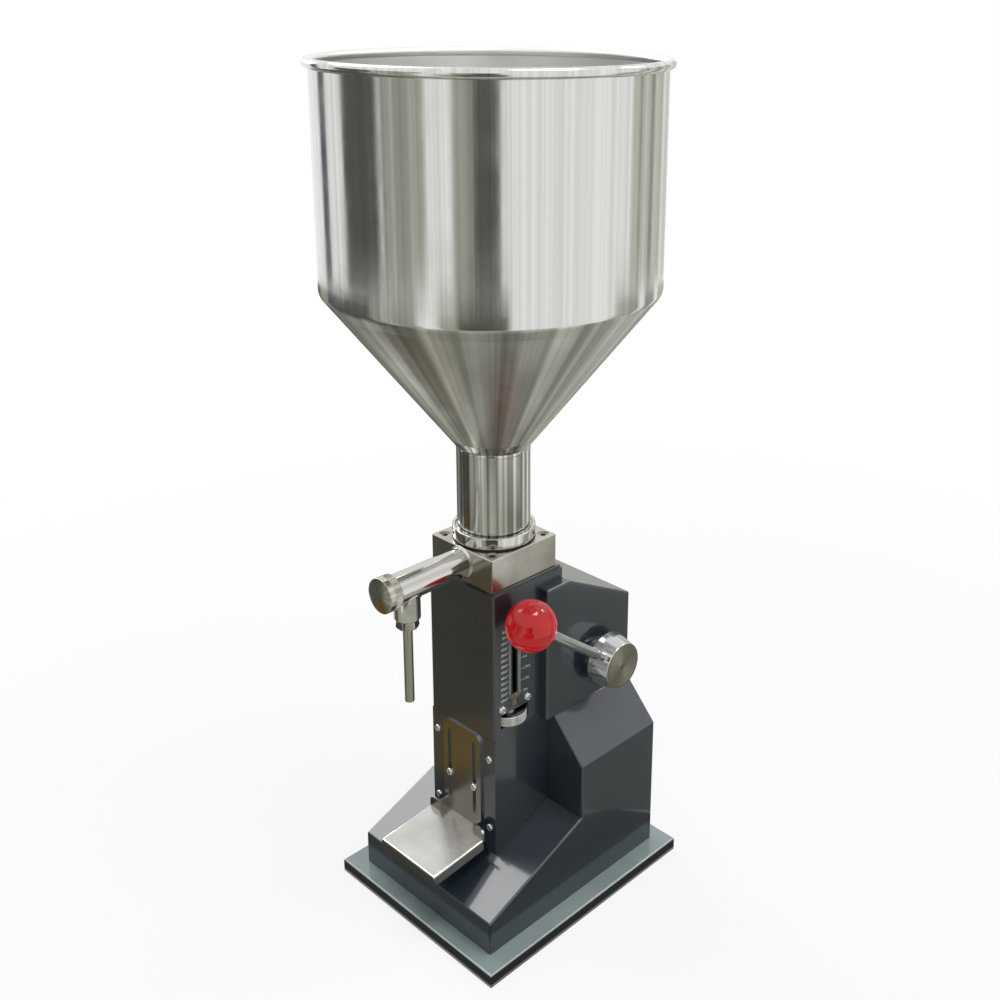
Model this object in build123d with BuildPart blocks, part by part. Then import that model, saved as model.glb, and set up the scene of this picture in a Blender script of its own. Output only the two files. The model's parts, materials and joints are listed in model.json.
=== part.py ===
"""Manual piston filler: a bench machine that draws a measured dose from a hopper and pushes it out.

Frame: the origin lies on the hopper's axis, on the surface that the base plate stands on.
+X is the machine's right, where the lever is, -Y its front, where the nozzle is, and +Z is up.
Rest pose: lever up, piston at the top of its cylinder, stop nut at the largest dose.
"""
import math
import os

from build123d import *

os.makedirs("parts", exist_ok=True)

# Dose and stroke
dose_max_ml = 60.0
stroke_per_ml = 1.075
stroke = dose_max_ml * stroke_per_ml
bore_r = math.sqrt(dose_max_ml * 1000 / (math.pi * stroke))

# Fits
running_gap = 0.05
close_gap = 0.02
loose_gap = 0.3
sheet = 2.0
bend_r = 1.9

# Base plate
base_width = 200.0
base_length = 238.0
base_thickness = 12.5
base_back_y = 138.0
base_edge = 1.0

# Lower housing
housing_side_margin = 17.0
housing_end_margin = 15.0
lip_height = 30.3
rear_block_y = 25.6
slope_top_z = 86.1
shoulder_z = 138.3
plateau_z = 174.5
plateau_half_width = 48.75

# Column
column_half_width = 40.5
column_front_y = -38.5
column_back_y = 43.3
column_top_z = 309.9
seam_z = 174.0
seam_gap = 0.6
return_lip = 11.0
back_window_half_width = 22.0
back_window_bottom_z = 138.0
back_window_margin = 24.9

# Front panel
panel_bottom_z = 22.0
panel_screw_x = 33.5
panel_screw_low_z = 85.8
panel_screw_high_z = 154.1

# Mechanism cover
cover_front_y = 16.0
cover_top_z = 299.3
cover_back_z = 258.8

# Valve block on top of the column
block_half = 37.4
block_height = 29.5
block_gap = 2.3
block_edge = 0.6
block_screw_x = 29.5
mounting_plate_thickness = 11.0

# Cylinder and piston
cylinder_wall = 1.85
cylinder_flange_r = 22.0
cylinder_flange_thickness = 4.0
cylinder_bottom_z = 212.0
piston_headroom = 2.2
piston_length = 22.0
piston_gap = 0.2
seal_width = 3.0
seal_depth = 2.0
piston_rod_r = 6.0
rod_end_r = 5.0
rod_end_depth = 12.0
rod_nut_flats = 16.0
rod_nut_height = 6.0
rod_tail = 2.0
seal_inset = 3.5

# Rack and sector gear
shaft_y = 83.0
shaft_z = 211.0
shaft_r = 8.0
gear_module = 1.5
sector_full_teeth = 78
pressure_angle = math.radians(20)
backlash = 0.14
sector_width = 8.0
rack_width = 12.0
rack_gap = 0.4
sector_hub_r = 14.0
sector_hub_length = 24.0
sector_hole_at = 38.0
sector_hole_r = 9.0
sector_hole_spread = math.radians(17)
pin_x = 8.0
pin_r = 2.0
pin_sink = 0.5
sector_slot_half_width = 8.0
sector_slot_back_y = 91.0
rack_screw_r = 1.2
rack_screw_x = 3.4
rack_screw_grip = 8.0
rack_head_r = 2.2
rack_head_height = 2.4

# Crosshead and its guides
crosshead_top_z = 200.0
crosshead_thickness = 10.0
crosshead_wall = 7.0
crosshead_bar_half = 8.0
crosshead_stem_half = 9.0
guide_rod_x = 21.0
guide_rod_y = 22.0
guide_rod_r = 4.0
guide_plate_z = 96.0
guide_plate_thickness = 6.0

# Dose stop on the right side of the column
scale_zero_z = 274.8
slot_y = -15.0
slot_width = 5.6
slot_bottom_z = 199.1
slot_headroom = 1.1
screw_x = 31.0
screw_r = 4.0
wheel_r = 17.0
wheel_bottom_z = 184.5
wheel_thickness = 9.0
wheel_gap = 1.0
wheel_hub_r = 7.0
window_half_width = 16.2
window_top_z = 196.4
dose_screw_offset = 15.0
dose_screw_z = 202.0
pointer_height = 5.3
pointer_length = 12.6
pointer_thickness = 1.2
pointer_rivet_r = 1.6
finger_above_zero = 5.5
finger_thickness = 6.6
stop_gap = 0.15
key_gap = 0.2
wheel_edge = 0.6
arm_inner_x = 24.0
arm_outer_x = 37.8
arm_back_y = 28.5
arm_nose = 8.0
arm_wall = 3.5
dose_screw_r = 2.0
dose_head_r = 4.0
dose_head_height = 2.6
dose_bracket_half = 21.0
dose_bracket_sheet = 3.0
dose_bracket_bottom_z = 176.0
dose_bracket_top_z = 208.0
dose_arm_half = 9.0
dose_arm_inner_x = 22.0
nut_half_width = 6.5
nut_inner_x = 25.0
nut_key_height = 6.6

# Lever
hub_inner_x = 57.0
hub_outer_x = 77.0
hub_inner_r = 25.3
hub_outer_r = 20.9
lever_x = 67.0
lever_angle = 36.7
lever_length = 130.7
lever_rod_r = 4.8
knob_r = 21.75
knob_flat = 1.2
knob_depth = 17.0
hub_edge = 1.0
hub_end_wall = 5.0
rod_start = 11.0
set_screw_r = 3.0
set_screw_length = 10.0
shaft_overhang = 3.5
circlip_inner_r = 7.2
circlip_outer_r = 10.5
circlip_thickness = 1.2
circlip_gap = 6.0

# Discharge tube and nozzle
tube_rise = 16.3
tube_r = 12.5
tube_wall = 2.0
tube_length = 81.5
cap_r = 14.8
cap_end_wall = 3.6
cap_length = 14.0
nozzle_y = -96.0
nozzle_boss_r = 11.0
nozzle_boss_drop = 29.0
nozzle_nut_height = 7.8
nozzle_nut_flats = 17.0
nozzle_r = 4.0
nozzle_bore_r = 2.8
nozzle_seat_r = 3.8
nozzle_length = 76.0

# Bottle tray
tray_half_width = 35.0
tray_front_y = -104.5
tray_rear_y = -48.5
tray_rear_z = 78.8
tray_droop = 5.5
tray_sheet = 2.0
tray_flange = 10.0
tray_back_half_width = 24.0
tray_back_top_z = 171.7
tray_back_corner = 9.0
tray_ear_height = 9.5
tray_slot_x = 15.8
tray_slot_width = 4.2
tray_slot_low_z = 90.8
tray_slot_high_z = 163.2
tray_screw_z = 119.0

# Hopper
hopper_sheet = 1.2
hopper_neck_r = 31.0
hopper_neck_top_z = 424.4
hopper_cone_top_z = 559.3
hopper_r = 137.0
hopper_rim_z = 734.7
hopper_rim_roll_r = 4.0
collar_r = 35.4
collar_height = 10.0
gasket_thickness = 1.2
spigot_r = 26.0
spigot_depth = 5.0
collar_bore_r = 21.5
collar_edge = 1.0
neck_socket_depth = 3.0
hopper_rim_offset = 0.7

# Fasteners, seals and small fittings
panel_screw_r = 1.7
panel_head_r = 3.4
panel_head_height = 2.0
panel_screw_tail = 3.0
tray_screw_r = 1.9
tray_head_r = 3.4
tray_head_height = 2.4
bracket_half_width = 42.0
bracket_cheek = 6.0
bracket_base = 5.0
bracket_front_y = 50.0
bracket_back_y = 112.0
bracket_eye_r = 15.0
bracket_bolt_x = 27.0
bracket_bolt_margin = 8.0
bracket_bolt_r = 3.0
bracket_bolt_flats = 10.0
bracket_bolt_head = 4.0
bracket_bolt_tail = 6.0
bush_r = 11.0
bush_collar_r = 14.0
bush_collar = 3.0
flange_neck_r = 13.0
flange_r = 17.0
flange_thickness = 3.0
flange_end_gap = 0.5
block_screw_r = 3.0
block_head_r = 5.0
block_head_height = 6.0
block_head_sink = 1.0
block_socket_flats = 5.0
rod_seat_depth = 5.0
screw_end_r = 3.0
guide_plate_front_y = 12.0
chamber_r = 13.0
chamber_height = 13.5
inlet_seat_r = 8.0
outlet_port_drop = 8.0
outlet_port_r = 5.0
tube_socket_depth = 9.0
weld_leg = 1.8
nozzle_boss_chamfer = 1.5
valve_chamber_r = 6.5
valve_seat_r = 4.0
outlet_ball_r = 5.2
gland_height = 2.0
cylinder_seal_r = 18.6
cylinder_seal_width = 2.0
cylinder_seal_height = 1.5
spring_wire_r = 0.5
spring_wire_sides = 6
inlet_spring_r = 6.5
inlet_spring_turns = 3
outlet_spring_r = 4.6
outlet_spring_turns = 3
inlet_guide_lift = 0.2
inlet_guide_height = 2.6
inlet_guide_ring = 3.0
inlet_guide_boss_r = 5.0
inlet_guide_boss_top_z = 318.0
inlet_spider_width = 3.0
inlet_disc_r = 11.0
inlet_disc_height = 3.0
inlet_plug_height = 1.5
inlet_stem_r = 2.5
inlet_stem_end_z = 314.4
cap_rim = 0.8
cap_dome = 1.5
cap_seal_thickness = 1.5

# Worked-out levels and places
panel_screw_places = [
    (x, z)
    for x in (-panel_screw_x, panel_screw_x)
    for z in (panel_screw_low_z, panel_screw_high_z)
]
dose_screw_places = [
    (slot_y - dose_screw_offset, dose_screw_z),
    (slot_y + dose_screw_offset, dose_screw_z),
]
guide_rod_places = [(-guide_rod_x, guide_rod_y), (guide_rod_x, guide_rod_y)]
tray_slot_places = [-tray_slot_x, tray_slot_x]
bracket_bolt_places = [
    (x, y)
    for x in (-bracket_bolt_x, bracket_bolt_x)
    for y in (bracket_front_y + bracket_bolt_margin, bracket_back_y - bracket_bolt_margin)
]
base_front_y = base_back_y - base_length
base_centre_y = (base_front_y + base_back_y) / 2
housing_half_width = base_width / 2 - housing_side_margin
housing_front_y = base_front_y + housing_end_margin
housing_back_y = base_back_y - housing_end_margin
lip_top_z = base_thickness + lip_height
column_inner_x = column_half_width - sheet
column_inner_front_y = column_front_y + sheet
column_inner_back_y = column_back_y - sheet
column_inner_width = 2 * column_inner_x
column_depth = column_back_y - column_front_y
column_centre_y = (column_front_y + column_back_y) / 2
back_window_top_z = column_top_z - back_window_margin
block_bottom_z = column_top_z + block_gap
block_top_z = block_bottom_z + block_height
mounting_plate_bottom_z = block_bottom_z - mounting_plate_thickness
cylinder_r = bore_r + cylinder_wall
piston_top_z = block_bottom_z - piston_headroom
piston_bottom_z = piston_top_z - piston_length
seal_levels = (piston_bottom_z + seal_inset, piston_top_z - seal_inset - seal_width)
crosshead_bottom_z = crosshead_top_z - crosshead_thickness
pitch_r = gear_module * sector_full_teeth / 2
tooth_pitch = math.pi * gear_module
pitch_line_y = shaft_y - pitch_r
addendum = gear_module
dedendum = 1.25 * gear_module
rack_back_y = cylinder_r + rack_gap
rack_root_y = pitch_line_y - dedendum
rack_screw_places = [
    (x, (rack_back_y + rack_root_y) / 2)
    for x in (-rack_screw_x, rack_screw_x)
]
swing = stroke / pitch_r
scale_full_z = scale_zero_z - stroke
slot_top_z = scale_zero_z + finger_above_zero + finger_thickness + slot_headroom
hopper_rim_r = hopper_r + hopper_rim_offset
collar_bottom_z = block_top_z + gasket_thickness
collar_top_z = collar_bottom_z + collar_height
chamber_top_z = block_bottom_z + chamber_height
tube_z = block_bottom_z + tube_rise
valve_seat_z = tube_z - tube_r
outlet_port_z = tube_z - outlet_port_drop
tube_end_y = -block_half - tube_length
cap_outer_y = tube_end_y - cap_seal_thickness - cap_end_wall
nozzle_boss_bottom_z = tube_z - nozzle_boss_drop
nozzle_tip_z = nozzle_boss_bottom_z - nozzle_length


def fold_centres(form, bottom_z):
    """Middle points of the closed form's edges above its open bottom."""
    return [edge.center() for edge in form.edges() if edge.center().Z > bottom_z + close_gap]


def edges_at(form, centres):
    """The shelled form's edges whose middle points are among these."""
    return [
        edge
        for edge in form.edges()
        if any((edge.center() - centre).length < close_gap for centre in centres)
    ]


# Base plate: one thick painted plate with its edges broken
with BuildPart() as base_plate:
    with BuildSketch(Plane.XY):
        with Locations((0, base_centre_y)):
            Rectangle(base_width, base_length)
    extrude(amount=base_thickness)
    top_edges = base_plate.faces().sort_by(Axis.Z)[-1].edges()
    chamfer(top_edges, length=base_edge)
base_plate.part.label = "base_plate"
export_step(base_plate.part, "parts/base_plate.step")


# Lower housing: a folded sheet shell, a sloping apron in front and a shouldered block behind
with BuildPart() as lower_housing:
    with BuildSketch(Plane.YZ.offset(-housing_half_width)):
        with BuildLine():
            Polyline(
                (housing_front_y, base_thickness),
                (housing_front_y, lip_top_z),
                (rear_block_y, slope_top_z),
                (rear_block_y, base_thickness),
                close=True,
            )
        make_face()
    extrude(amount=2 * housing_half_width)
    with BuildSketch(Plane.XZ.offset(-rear_block_y)):
        with BuildLine():
            Polyline(
                (-housing_half_width, base_thickness),
                (-housing_half_width, shoulder_z),
                (-plateau_half_width, plateau_z),
                (plateau_half_width, plateau_z),
                (housing_half_width, shoulder_z),
                (housing_half_width, base_thickness),
                close=True,
            )
        make_face()
    extrude(amount=-(housing_back_y - rear_block_y))
    valley = Vector(0, rear_block_y, slope_top_z)
    folds = [
        centre
        for centre in fold_centres(lower_housing, base_thickness)
        if (centre - valley).length > close_gap
    ]
    open_bottom = lower_housing.faces().sort_by(Axis.Z)[0]
    offset(amount=-sheet, openings=open_bottom, kind=Kind.INTERSECTION)
    fillet(edges_at(lower_housing, folds), radius=bend_r)
    with BuildSketch(Plane.XY.offset(base_thickness)):
        with Locations((0, column_centre_y)):
            Rectangle(2 * column_half_width, column_depth)
    extrude(amount=plateau_z, mode=Mode.SUBTRACT)
    with BuildSketch(Plane.XY.offset(plateau_z)):
        with Locations((0, (column_centre_y + sector_slot_back_y) / 2)):
            Rectangle(2 * sector_slot_half_width, sector_slot_back_y - column_centre_y)
        with Locations(*bracket_bolt_places):
            Circle(bracket_bolt_r + close_gap)
    extrude(amount=-2 * sheet, mode=Mode.SUBTRACT)
lower_housing.part.label = "lower_housing"
export_step(lower_housing.part, "parts/lower_housing.step")


# Column: a square sheet tube, open below its seam in front and behind the rack
lip_end_z = seam_z + sheet / 2
with BuildPart() as column:
    with BuildSketch(Plane.XY.offset(base_thickness)):
        with Locations((0, column_centre_y)):
            Rectangle(2 * column_half_width, column_depth)
            Rectangle(column_inner_width, column_depth - 2 * sheet, mode=Mode.SUBTRACT)
    extrude(amount=column_top_z - base_thickness)
    corners = column.edges().filter_by(Axis.Z).filter_by(
        lambda edge: abs(edge.center().X) > column_inner_x + close_gap
    )
    fillet(corners, radius=bend_r)
    with BuildSketch(Plane.XZ.offset(-column_front_y)):
        with Locations((0, (base_thickness + seam_z) / 2)):
            Rectangle(2 * column_half_width, seam_z - base_thickness)
    extrude(amount=-sheet, mode=Mode.SUBTRACT)
    with BuildSketch(Plane.XZ.offset(-column_inner_front_y)):
        with Locations((0, (base_thickness + lip_end_z) / 2)):
            Rectangle(column_inner_width, lip_end_z - base_thickness)
            Rectangle(
                column_inner_width - 2 * return_lip,
                lip_end_z - base_thickness,
                mode=Mode.SUBTRACT,
            )
    extrude(amount=-sheet)
    with BuildSketch(Plane.XZ.offset(-column_back_y)):
        with Locations((0, (back_window_bottom_z + back_window_top_z) / 2)):
            Rectangle(2 * back_window_half_width, back_window_top_z - back_window_bottom_z)
    extrude(amount=sheet, mode=Mode.SUBTRACT)
    with BuildSketch(Plane.YZ.offset(column_inner_x)):
        with Locations((slot_y, (slot_bottom_z + slot_top_z) / 2)):
            Rectangle(slot_width, slot_top_z - slot_bottom_z)
        with Locations((slot_y, (wheel_bottom_z - wheel_gap + window_top_z) / 2)):
            Rectangle(2 * window_half_width, window_top_z - wheel_bottom_z + wheel_gap)
    extrude(amount=sheet, mode=Mode.SUBTRACT)
    with BuildSketch(Plane.YZ.offset(column_inner_x)):
        with Locations(*dose_screw_places):
            Circle(dose_screw_r + close_gap)
    extrude(amount=sheet, mode=Mode.SUBTRACT)
    with BuildSketch(Plane.XZ.offset(-column_inner_front_y)):
        with Locations(*panel_screw_places):
            Circle(panel_screw_r + close_gap)
    extrude(amount=-sheet, mode=Mode.SUBTRACT)
column.part.label = "column"
export_step(column.part, "parts/column.step")


# Front panel: the plate that closes the column below the seam and carries the tray
with BuildPart() as front_panel:
    panel_top_z = seam_z - seam_gap
    with BuildSketch(Plane.XZ.offset(-column_inner_front_y)):
        with Locations((0, (panel_bottom_z + panel_top_z) / 2)):
            Rectangle(2 * column_half_width, panel_top_z - panel_bottom_z)
        with Locations(*panel_screw_places):
            Circle(panel_screw_r + close_gap, mode=Mode.SUBTRACT)
        with Locations(*[(x, tray_screw_z) for x in tray_slot_places]):
            Circle(tray_screw_r + close_gap, mode=Mode.SUBTRACT)
    extrude(amount=sheet)
front_panel.part.label = "front_panel"
export_step(front_panel.part, "parts/front_panel.step")


# Four pan screws hold the panel to the column's return lips
with BuildPart() as panel_screws:
    with BuildSketch(Plane.XZ.offset(-column_front_y)):
        with Locations(*panel_screw_places):
            Circle(panel_head_r)
    extrude(amount=panel_head_height)
    head_edges = panel_screws.faces().sort_by(Axis.Y)[0:4].edges()
    fillet(head_edges, radius=panel_head_height / 2)
    with BuildSketch(Plane.XZ.offset(-column_front_y)):
        with Locations(*panel_screw_places):
            Circle(panel_screw_r)
    extrude(amount=-(2 * sheet + panel_screw_tail))
panel_screws.part.label = "panel_screws"
export_step(panel_screws.part, "parts/panel_screws.step")


# Mechanism cover: the folded box behind the column, over the gear and the lever's bearings
with BuildPart() as mechanism_cover:
    with BuildSketch(Plane.YZ.offset(-plateau_half_width)):
        with BuildLine():
            Polyline(
                (cover_front_y, plateau_z),
                (cover_front_y, cover_top_z),
                (column_back_y, cover_top_z),
                (housing_back_y, cover_back_z),
                (housing_back_y, plateau_z),
                close=True,
            )
        make_face()
    extrude(amount=2 * plateau_half_width)
    folds = fold_centres(mechanism_cover, plateau_z)
    open_bottom = mechanism_cover.faces().sort_by(Axis.Z)[0]
    offset(amount=-sheet, openings=open_bottom, kind=Kind.INTERSECTION)
    fillet(edges_at(mechanism_cover, folds), radius=bend_r)
    with BuildSketch(Plane.XY.offset(plateau_z)):
        with Locations((0, column_centre_y)):
            Rectangle(2 * column_half_width, column_depth)
    extrude(amount=cover_top_z - plateau_z, mode=Mode.SUBTRACT)
    with BuildSketch(Plane.YZ.offset(plateau_half_width - sheet)):
        with Locations((shaft_y, shaft_z)):
            Circle(flange_neck_r + close_gap)
    extrude(amount=sheet, mode=Mode.SUBTRACT)
mechanism_cover.part.label = "mechanism_cover"
export_step(mechanism_cover.part, "parts/mechanism_cover.step")


# Bearing bracket: a U-shaped frame on the plateau whose cheeks carry the lever shaft
with BuildPart() as bearing_bracket:
    with BuildSketch(Plane.XY.offset(plateau_z)):
        with Locations((0, (bracket_front_y + bracket_back_y) / 2)):
            Rectangle(2 * bracket_half_width, bracket_back_y - bracket_front_y)
        with Locations((0, (bracket_front_y + sector_slot_back_y) / 2)):
            Rectangle(
                2 * sector_slot_half_width,
                sector_slot_back_y - bracket_front_y,
                mode=Mode.SUBTRACT,
            )
        with Locations(*bracket_bolt_places):
            Circle(bracket_bolt_r + close_gap, mode=Mode.SUBTRACT)
    extrude(amount=bracket_base)
    for cheek_x in (-bracket_half_width, bracket_half_width - bracket_cheek):
        with BuildSketch(Plane.YZ.offset(cheek_x)):
            with BuildLine():
                Polyline(
                    (bracket_front_y, plateau_z),
                    (bracket_front_y, plateau_z + 2 * bracket_base),
                    (shaft_y - bracket_eye_r, shaft_z),
                    (shaft_y + bracket_eye_r, shaft_z),
                    (bracket_back_y, plateau_z + 2 * bracket_base),
                    (bracket_back_y, plateau_z),
                    close=True,
                )
            make_face()
            with Locations((shaft_y, shaft_z)):
                Circle(bracket_eye_r)
                Circle(bush_r + close_gap, mode=Mode.SUBTRACT)
        extrude(amount=bracket_cheek)
bearing_bracket.part.label = "bearing_bracket"
export_step(bearing_bracket.part, "parts/bearing_bracket.step")


# Four hexagon bolts hold the bracket to the housing's plateau
with BuildPart() as bracket_bolts:
    with BuildSketch(Plane.XY.offset(plateau_z + bracket_base)):
        with Locations(*bracket_bolt_places):
            RegularPolygon(radius=bracket_bolt_flats / 2, side_count=6, major_radius=False)
    extrude(amount=bracket_bolt_head)
    with BuildSketch(Plane.XY.offset(plateau_z + bracket_base)):
        with Locations(*bracket_bolt_places):
            Circle(bracket_bolt_r)
    extrude(amount=-(bracket_base + sheet + bracket_bolt_tail))
bracket_bolts.part.label = "bracket_bolts"
export_step(bracket_bolts.part, "parts/bracket_bolts.step")


# Left shaft bush: a bronze sleeve with a collar on the inner face of the left cheek
with BuildPart() as shaft_bush:
    with BuildSketch(Plane.YZ.offset(-bracket_half_width)):
        with Locations((shaft_y, shaft_z)):
            Circle(bush_r)
            Circle(shaft_r + running_gap, mode=Mode.SUBTRACT)
    extrude(amount=bracket_cheek)
    with BuildSketch(Plane.YZ.offset(-bracket_half_width + bracket_cheek)):
        with Locations((shaft_y, shaft_z)):
            Circle(bush_collar_r)
            Circle(shaft_r + running_gap, mode=Mode.SUBTRACT)
    extrude(amount=bush_collar)
shaft_bush.part.label = "shaft_bush"
export_step(shaft_bush.part, "parts/shaft_bush.step")


# Bearing flange: the turned bush that passes through the cover and the right cheek
with BuildPart() as bearing_flange:
    with BuildSketch(Plane.XY.offset(shaft_z)):
        with BuildLine():
            Polyline(
                (bracket_half_width - bracket_cheek, shaft_y + shaft_r + running_gap),
                (bracket_half_width - bracket_cheek, shaft_y + bush_r),
                (bracket_half_width, shaft_y + bush_r),
                (bracket_half_width, shaft_y + flange_neck_r),
                (plateau_half_width, shaft_y + flange_neck_r),
                (plateau_half_width, shaft_y + flange_r),
                (plateau_half_width + flange_thickness, shaft_y + flange_r),
                (hub_inner_x - flange_end_gap, shaft_y + bush_r),
                (hub_inner_x - flange_end_gap, shaft_y + shaft_r + running_gap),
                close=True,
            )
        make_face()
    revolve(axis=Axis((0, shaft_y, shaft_z), (1, 0, 0)))
bearing_flange.part.label = "bearing_flange"
export_step(bearing_flange.part, "parts/bearing_flange.step")


# Mounting plate: fills the column's mouth, carries the block and holds the cylinder's flange
with BuildPart() as mounting_plate:
    with BuildSketch(Plane.XY.offset(mounting_plate_bottom_z)):
        with Locations((0, column_centre_y)):
            Rectangle(column_inner_width, column_depth - 2 * sheet)
    extrude(amount=mounting_plate_thickness)
    with Locations((0, 0, block_bottom_z)):
        CounterBoreHole(
            radius=cylinder_r + close_gap,
            counter_bore_radius=cylinder_flange_r + close_gap,
            counter_bore_depth=cylinder_flange_thickness,
        )
    with BuildSketch(Plane.XY.offset(block_bottom_z)):
        with GridLocations(2 * block_screw_x, 2 * block_screw_x, 2, 2):
            Circle(block_screw_r + close_gap)
    extrude(amount=-mounting_plate_thickness, mode=Mode.SUBTRACT)
    with BuildSketch(Plane.XY.offset(mounting_plate_bottom_z)):
        with Locations(*guide_rod_places):
            Circle(guide_rod_r + close_gap)
        with Locations((screw_x, slot_y)):
            Circle(screw_end_r + running_gap)
    extrude(amount=rod_seat_depth, mode=Mode.SUBTRACT)
mounting_plate.part.label = "mounting_plate"
export_step(mounting_plate.part, "parts/mounting_plate.step")


# Guide plate: a shelf low inside the column that seats the lower ends of the guide rods
with BuildPart() as guide_plate:
    with BuildSketch(Plane.XY.offset(guide_plate_z)):
        with Locations((0, (guide_plate_front_y + column_inner_back_y) / 2)):
            Rectangle(column_inner_width, column_inner_back_y - guide_plate_front_y)
        with Locations(*guide_rod_places):
            Circle(guide_rod_r + close_gap, mode=Mode.SUBTRACT)
    extrude(amount=guide_plate_thickness)
guide_plate.part.label = "guide_plate"
export_step(guide_plate.part, "parts/guide_plate.step")


# Two ground rods keep the crosshead upright along its stroke
with BuildPart() as guide_rods:
    with BuildSketch(Plane.XY.offset(guide_plate_z)):
        with Locations(*guide_rod_places):
            Circle(guide_rod_r)
    extrude(amount=mounting_plate_bottom_z + rod_seat_depth - guide_plate_z)
guide_rods.part.label = "guide_rods"
export_step(guide_rods.part, "parts/guide_rods.step")


# Cylinder: a flanged tube hung under the valve block
with BuildPart() as cylinder:
    with BuildSketch(Plane.XY.offset(cylinder_bottom_z)):
        Circle(cylinder_r)
    extrude(amount=block_bottom_z - cylinder_bottom_z)
    with BuildSketch(Plane.XY.offset(block_bottom_z)):
        Circle(cylinder_flange_r)
    extrude(amount=-cylinder_flange_thickness)
    with Locations((0, 0, block_bottom_z)):
        Hole(radius=bore_r)
cylinder.part.label = "cylinder"
export_step(cylinder.part, "parts/cylinder.step")


# Valve block: bored for the inlet valve, the cylinder and the discharge tube
with BuildPart() as valve_block:
    with BuildSketch(Plane.XY.offset(block_bottom_z)):
        Rectangle(2 * block_half, 2 * block_half)
    extrude(amount=block_height)
    chamfer(valve_block.edges(), length=block_edge)
    with Locations((0, 0, block_top_z)):
        CounterBoreHole(
            radius=inlet_seat_r,
            counter_bore_radius=spigot_r + running_gap,
            counter_bore_depth=spigot_depth + loose_gap,
        )
    with BuildSketch(Plane.XY.offset(block_bottom_z)):
        Circle(chamber_r)
    extrude(amount=chamber_height, mode=Mode.SUBTRACT)
    with BuildSketch(Plane.XZ.offset(block_half)):
        with Locations((0, tube_z)):
            Circle(tube_r - tube_wall)
    extrude(amount=-tube_socket_depth, mode=Mode.SUBTRACT)
    with BuildSketch(Plane.XZ.offset(block_half - tube_socket_depth)):
        with Locations((0, outlet_port_z)):
            Circle(outlet_port_r)
    extrude(amount=tube_socket_depth - block_half, mode=Mode.SUBTRACT)
    with BuildSketch(Plane.XY.offset(block_bottom_z)):
        Circle(cylinder_seal_r + cylinder_seal_width)
        Circle(cylinder_seal_r, mode=Mode.SUBTRACT)
    extrude(amount=cylinder_seal_height, mode=Mode.SUBTRACT)
    with BuildSketch(Plane.XY.offset(block_top_z)):
        with GridLocations(2 * block_screw_x, 2 * block_screw_x, 2, 2):
            Circle(block_head_r + close_gap)
    extrude(amount=-(block_head_height + block_head_sink), mode=Mode.SUBTRACT)
    with BuildSketch(Plane.XY.offset(block_top_z)):
        with GridLocations(2 * block_screw_x, 2 * block_screw_x, 2, 2):
            Circle(block_screw_r + close_gap)
    extrude(amount=-block_height, mode=Mode.SUBTRACT)
valve_block.part.label = "valve_block"
export_step(valve_block.part, "parts/valve_block.step")


# Four socket-head screws sunk in the block's corners
with BuildPart() as block_screws:
    head_top_z = block_top_z - block_head_sink
    with BuildSketch(Plane.XY.offset(head_top_z)):
        with GridLocations(2 * block_screw_x, 2 * block_screw_x, 2, 2):
            Circle(block_head_r)
    extrude(amount=-block_head_height)
    with BuildSketch(Plane.XY.offset(head_top_z)):
        with GridLocations(2 * block_screw_x, 2 * block_screw_x, 2, 2):
            RegularPolygon(radius=block_socket_flats / 2, side_count=6, major_radius=False)
    extrude(amount=-block_head_height / 2, mode=Mode.SUBTRACT)
    with BuildSketch(Plane.XY.offset(head_top_z - block_head_height)):
        with GridLocations(2 * block_screw_x, 2 * block_screw_x, 2, 2):
            Circle(block_screw_r)
    extrude(amount=-(head_top_z - block_head_height - mounting_plate_bottom_z))
block_screws.part.label = "block_screws"
export_step(block_screws.part, "parts/block_screws.step")


# Discharge tube: welded to the block, with the outlet valve's chamber in the boss under it
with BuildPart() as discharge_tube:
    with BuildSketch(Plane.XZ.offset(block_half)):
        with Locations((0, tube_z)):
            Circle(tube_r)
    extrude(amount=tube_length)
    with BuildSketch(Plane.XY.offset(nozzle_boss_bottom_z)):
        with Locations((0, nozzle_y)):
            Circle(nozzle_boss_r)
    extrude(amount=tube_z - nozzle_boss_bottom_z)
    boss_rim = discharge_tube.faces().sort_by(Axis.Z)[0].edges()
    chamfer(boss_rim, length=nozzle_boss_chamfer)
    with BuildSketch(Plane.YZ):
        with BuildLine():
            Polyline(
                (-block_half, tube_z + tube_r - tube_wall / 2),
                (-block_half, tube_z + tube_r + weld_leg),
                (-block_half - weld_leg, tube_z + tube_r),
                (-block_half - weld_leg, tube_z + tube_r - tube_wall / 2),
                close=True,
            )
        make_face()
    revolve(axis=Axis((0, 0, tube_z), (0, 1, 0)))
    with BuildSketch(Plane.XZ.offset(block_half)):
        with Locations((0, tube_z)):
            Circle(tube_r - tube_wall)
    extrude(amount=tube_length, mode=Mode.SUBTRACT)
    with BuildSketch(Plane.XY.offset(nozzle_boss_bottom_z)):
        with Locations((0, nozzle_y)):
            Circle(valve_seat_r)
    extrude(amount=tube_z - nozzle_boss_bottom_z, mode=Mode.SUBTRACT)
    with BuildSketch(Plane.XY.offset(nozzle_boss_bottom_z)):
        with Locations((0, nozzle_y)):
            Circle(valve_chamber_r)
    extrude(amount=valve_seat_z - nozzle_boss_bottom_z, mode=Mode.SUBTRACT)
discharge_tube.part.label = "discharge_tube"
export_step(discharge_tube.part, "parts/discharge_tube.step")


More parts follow.
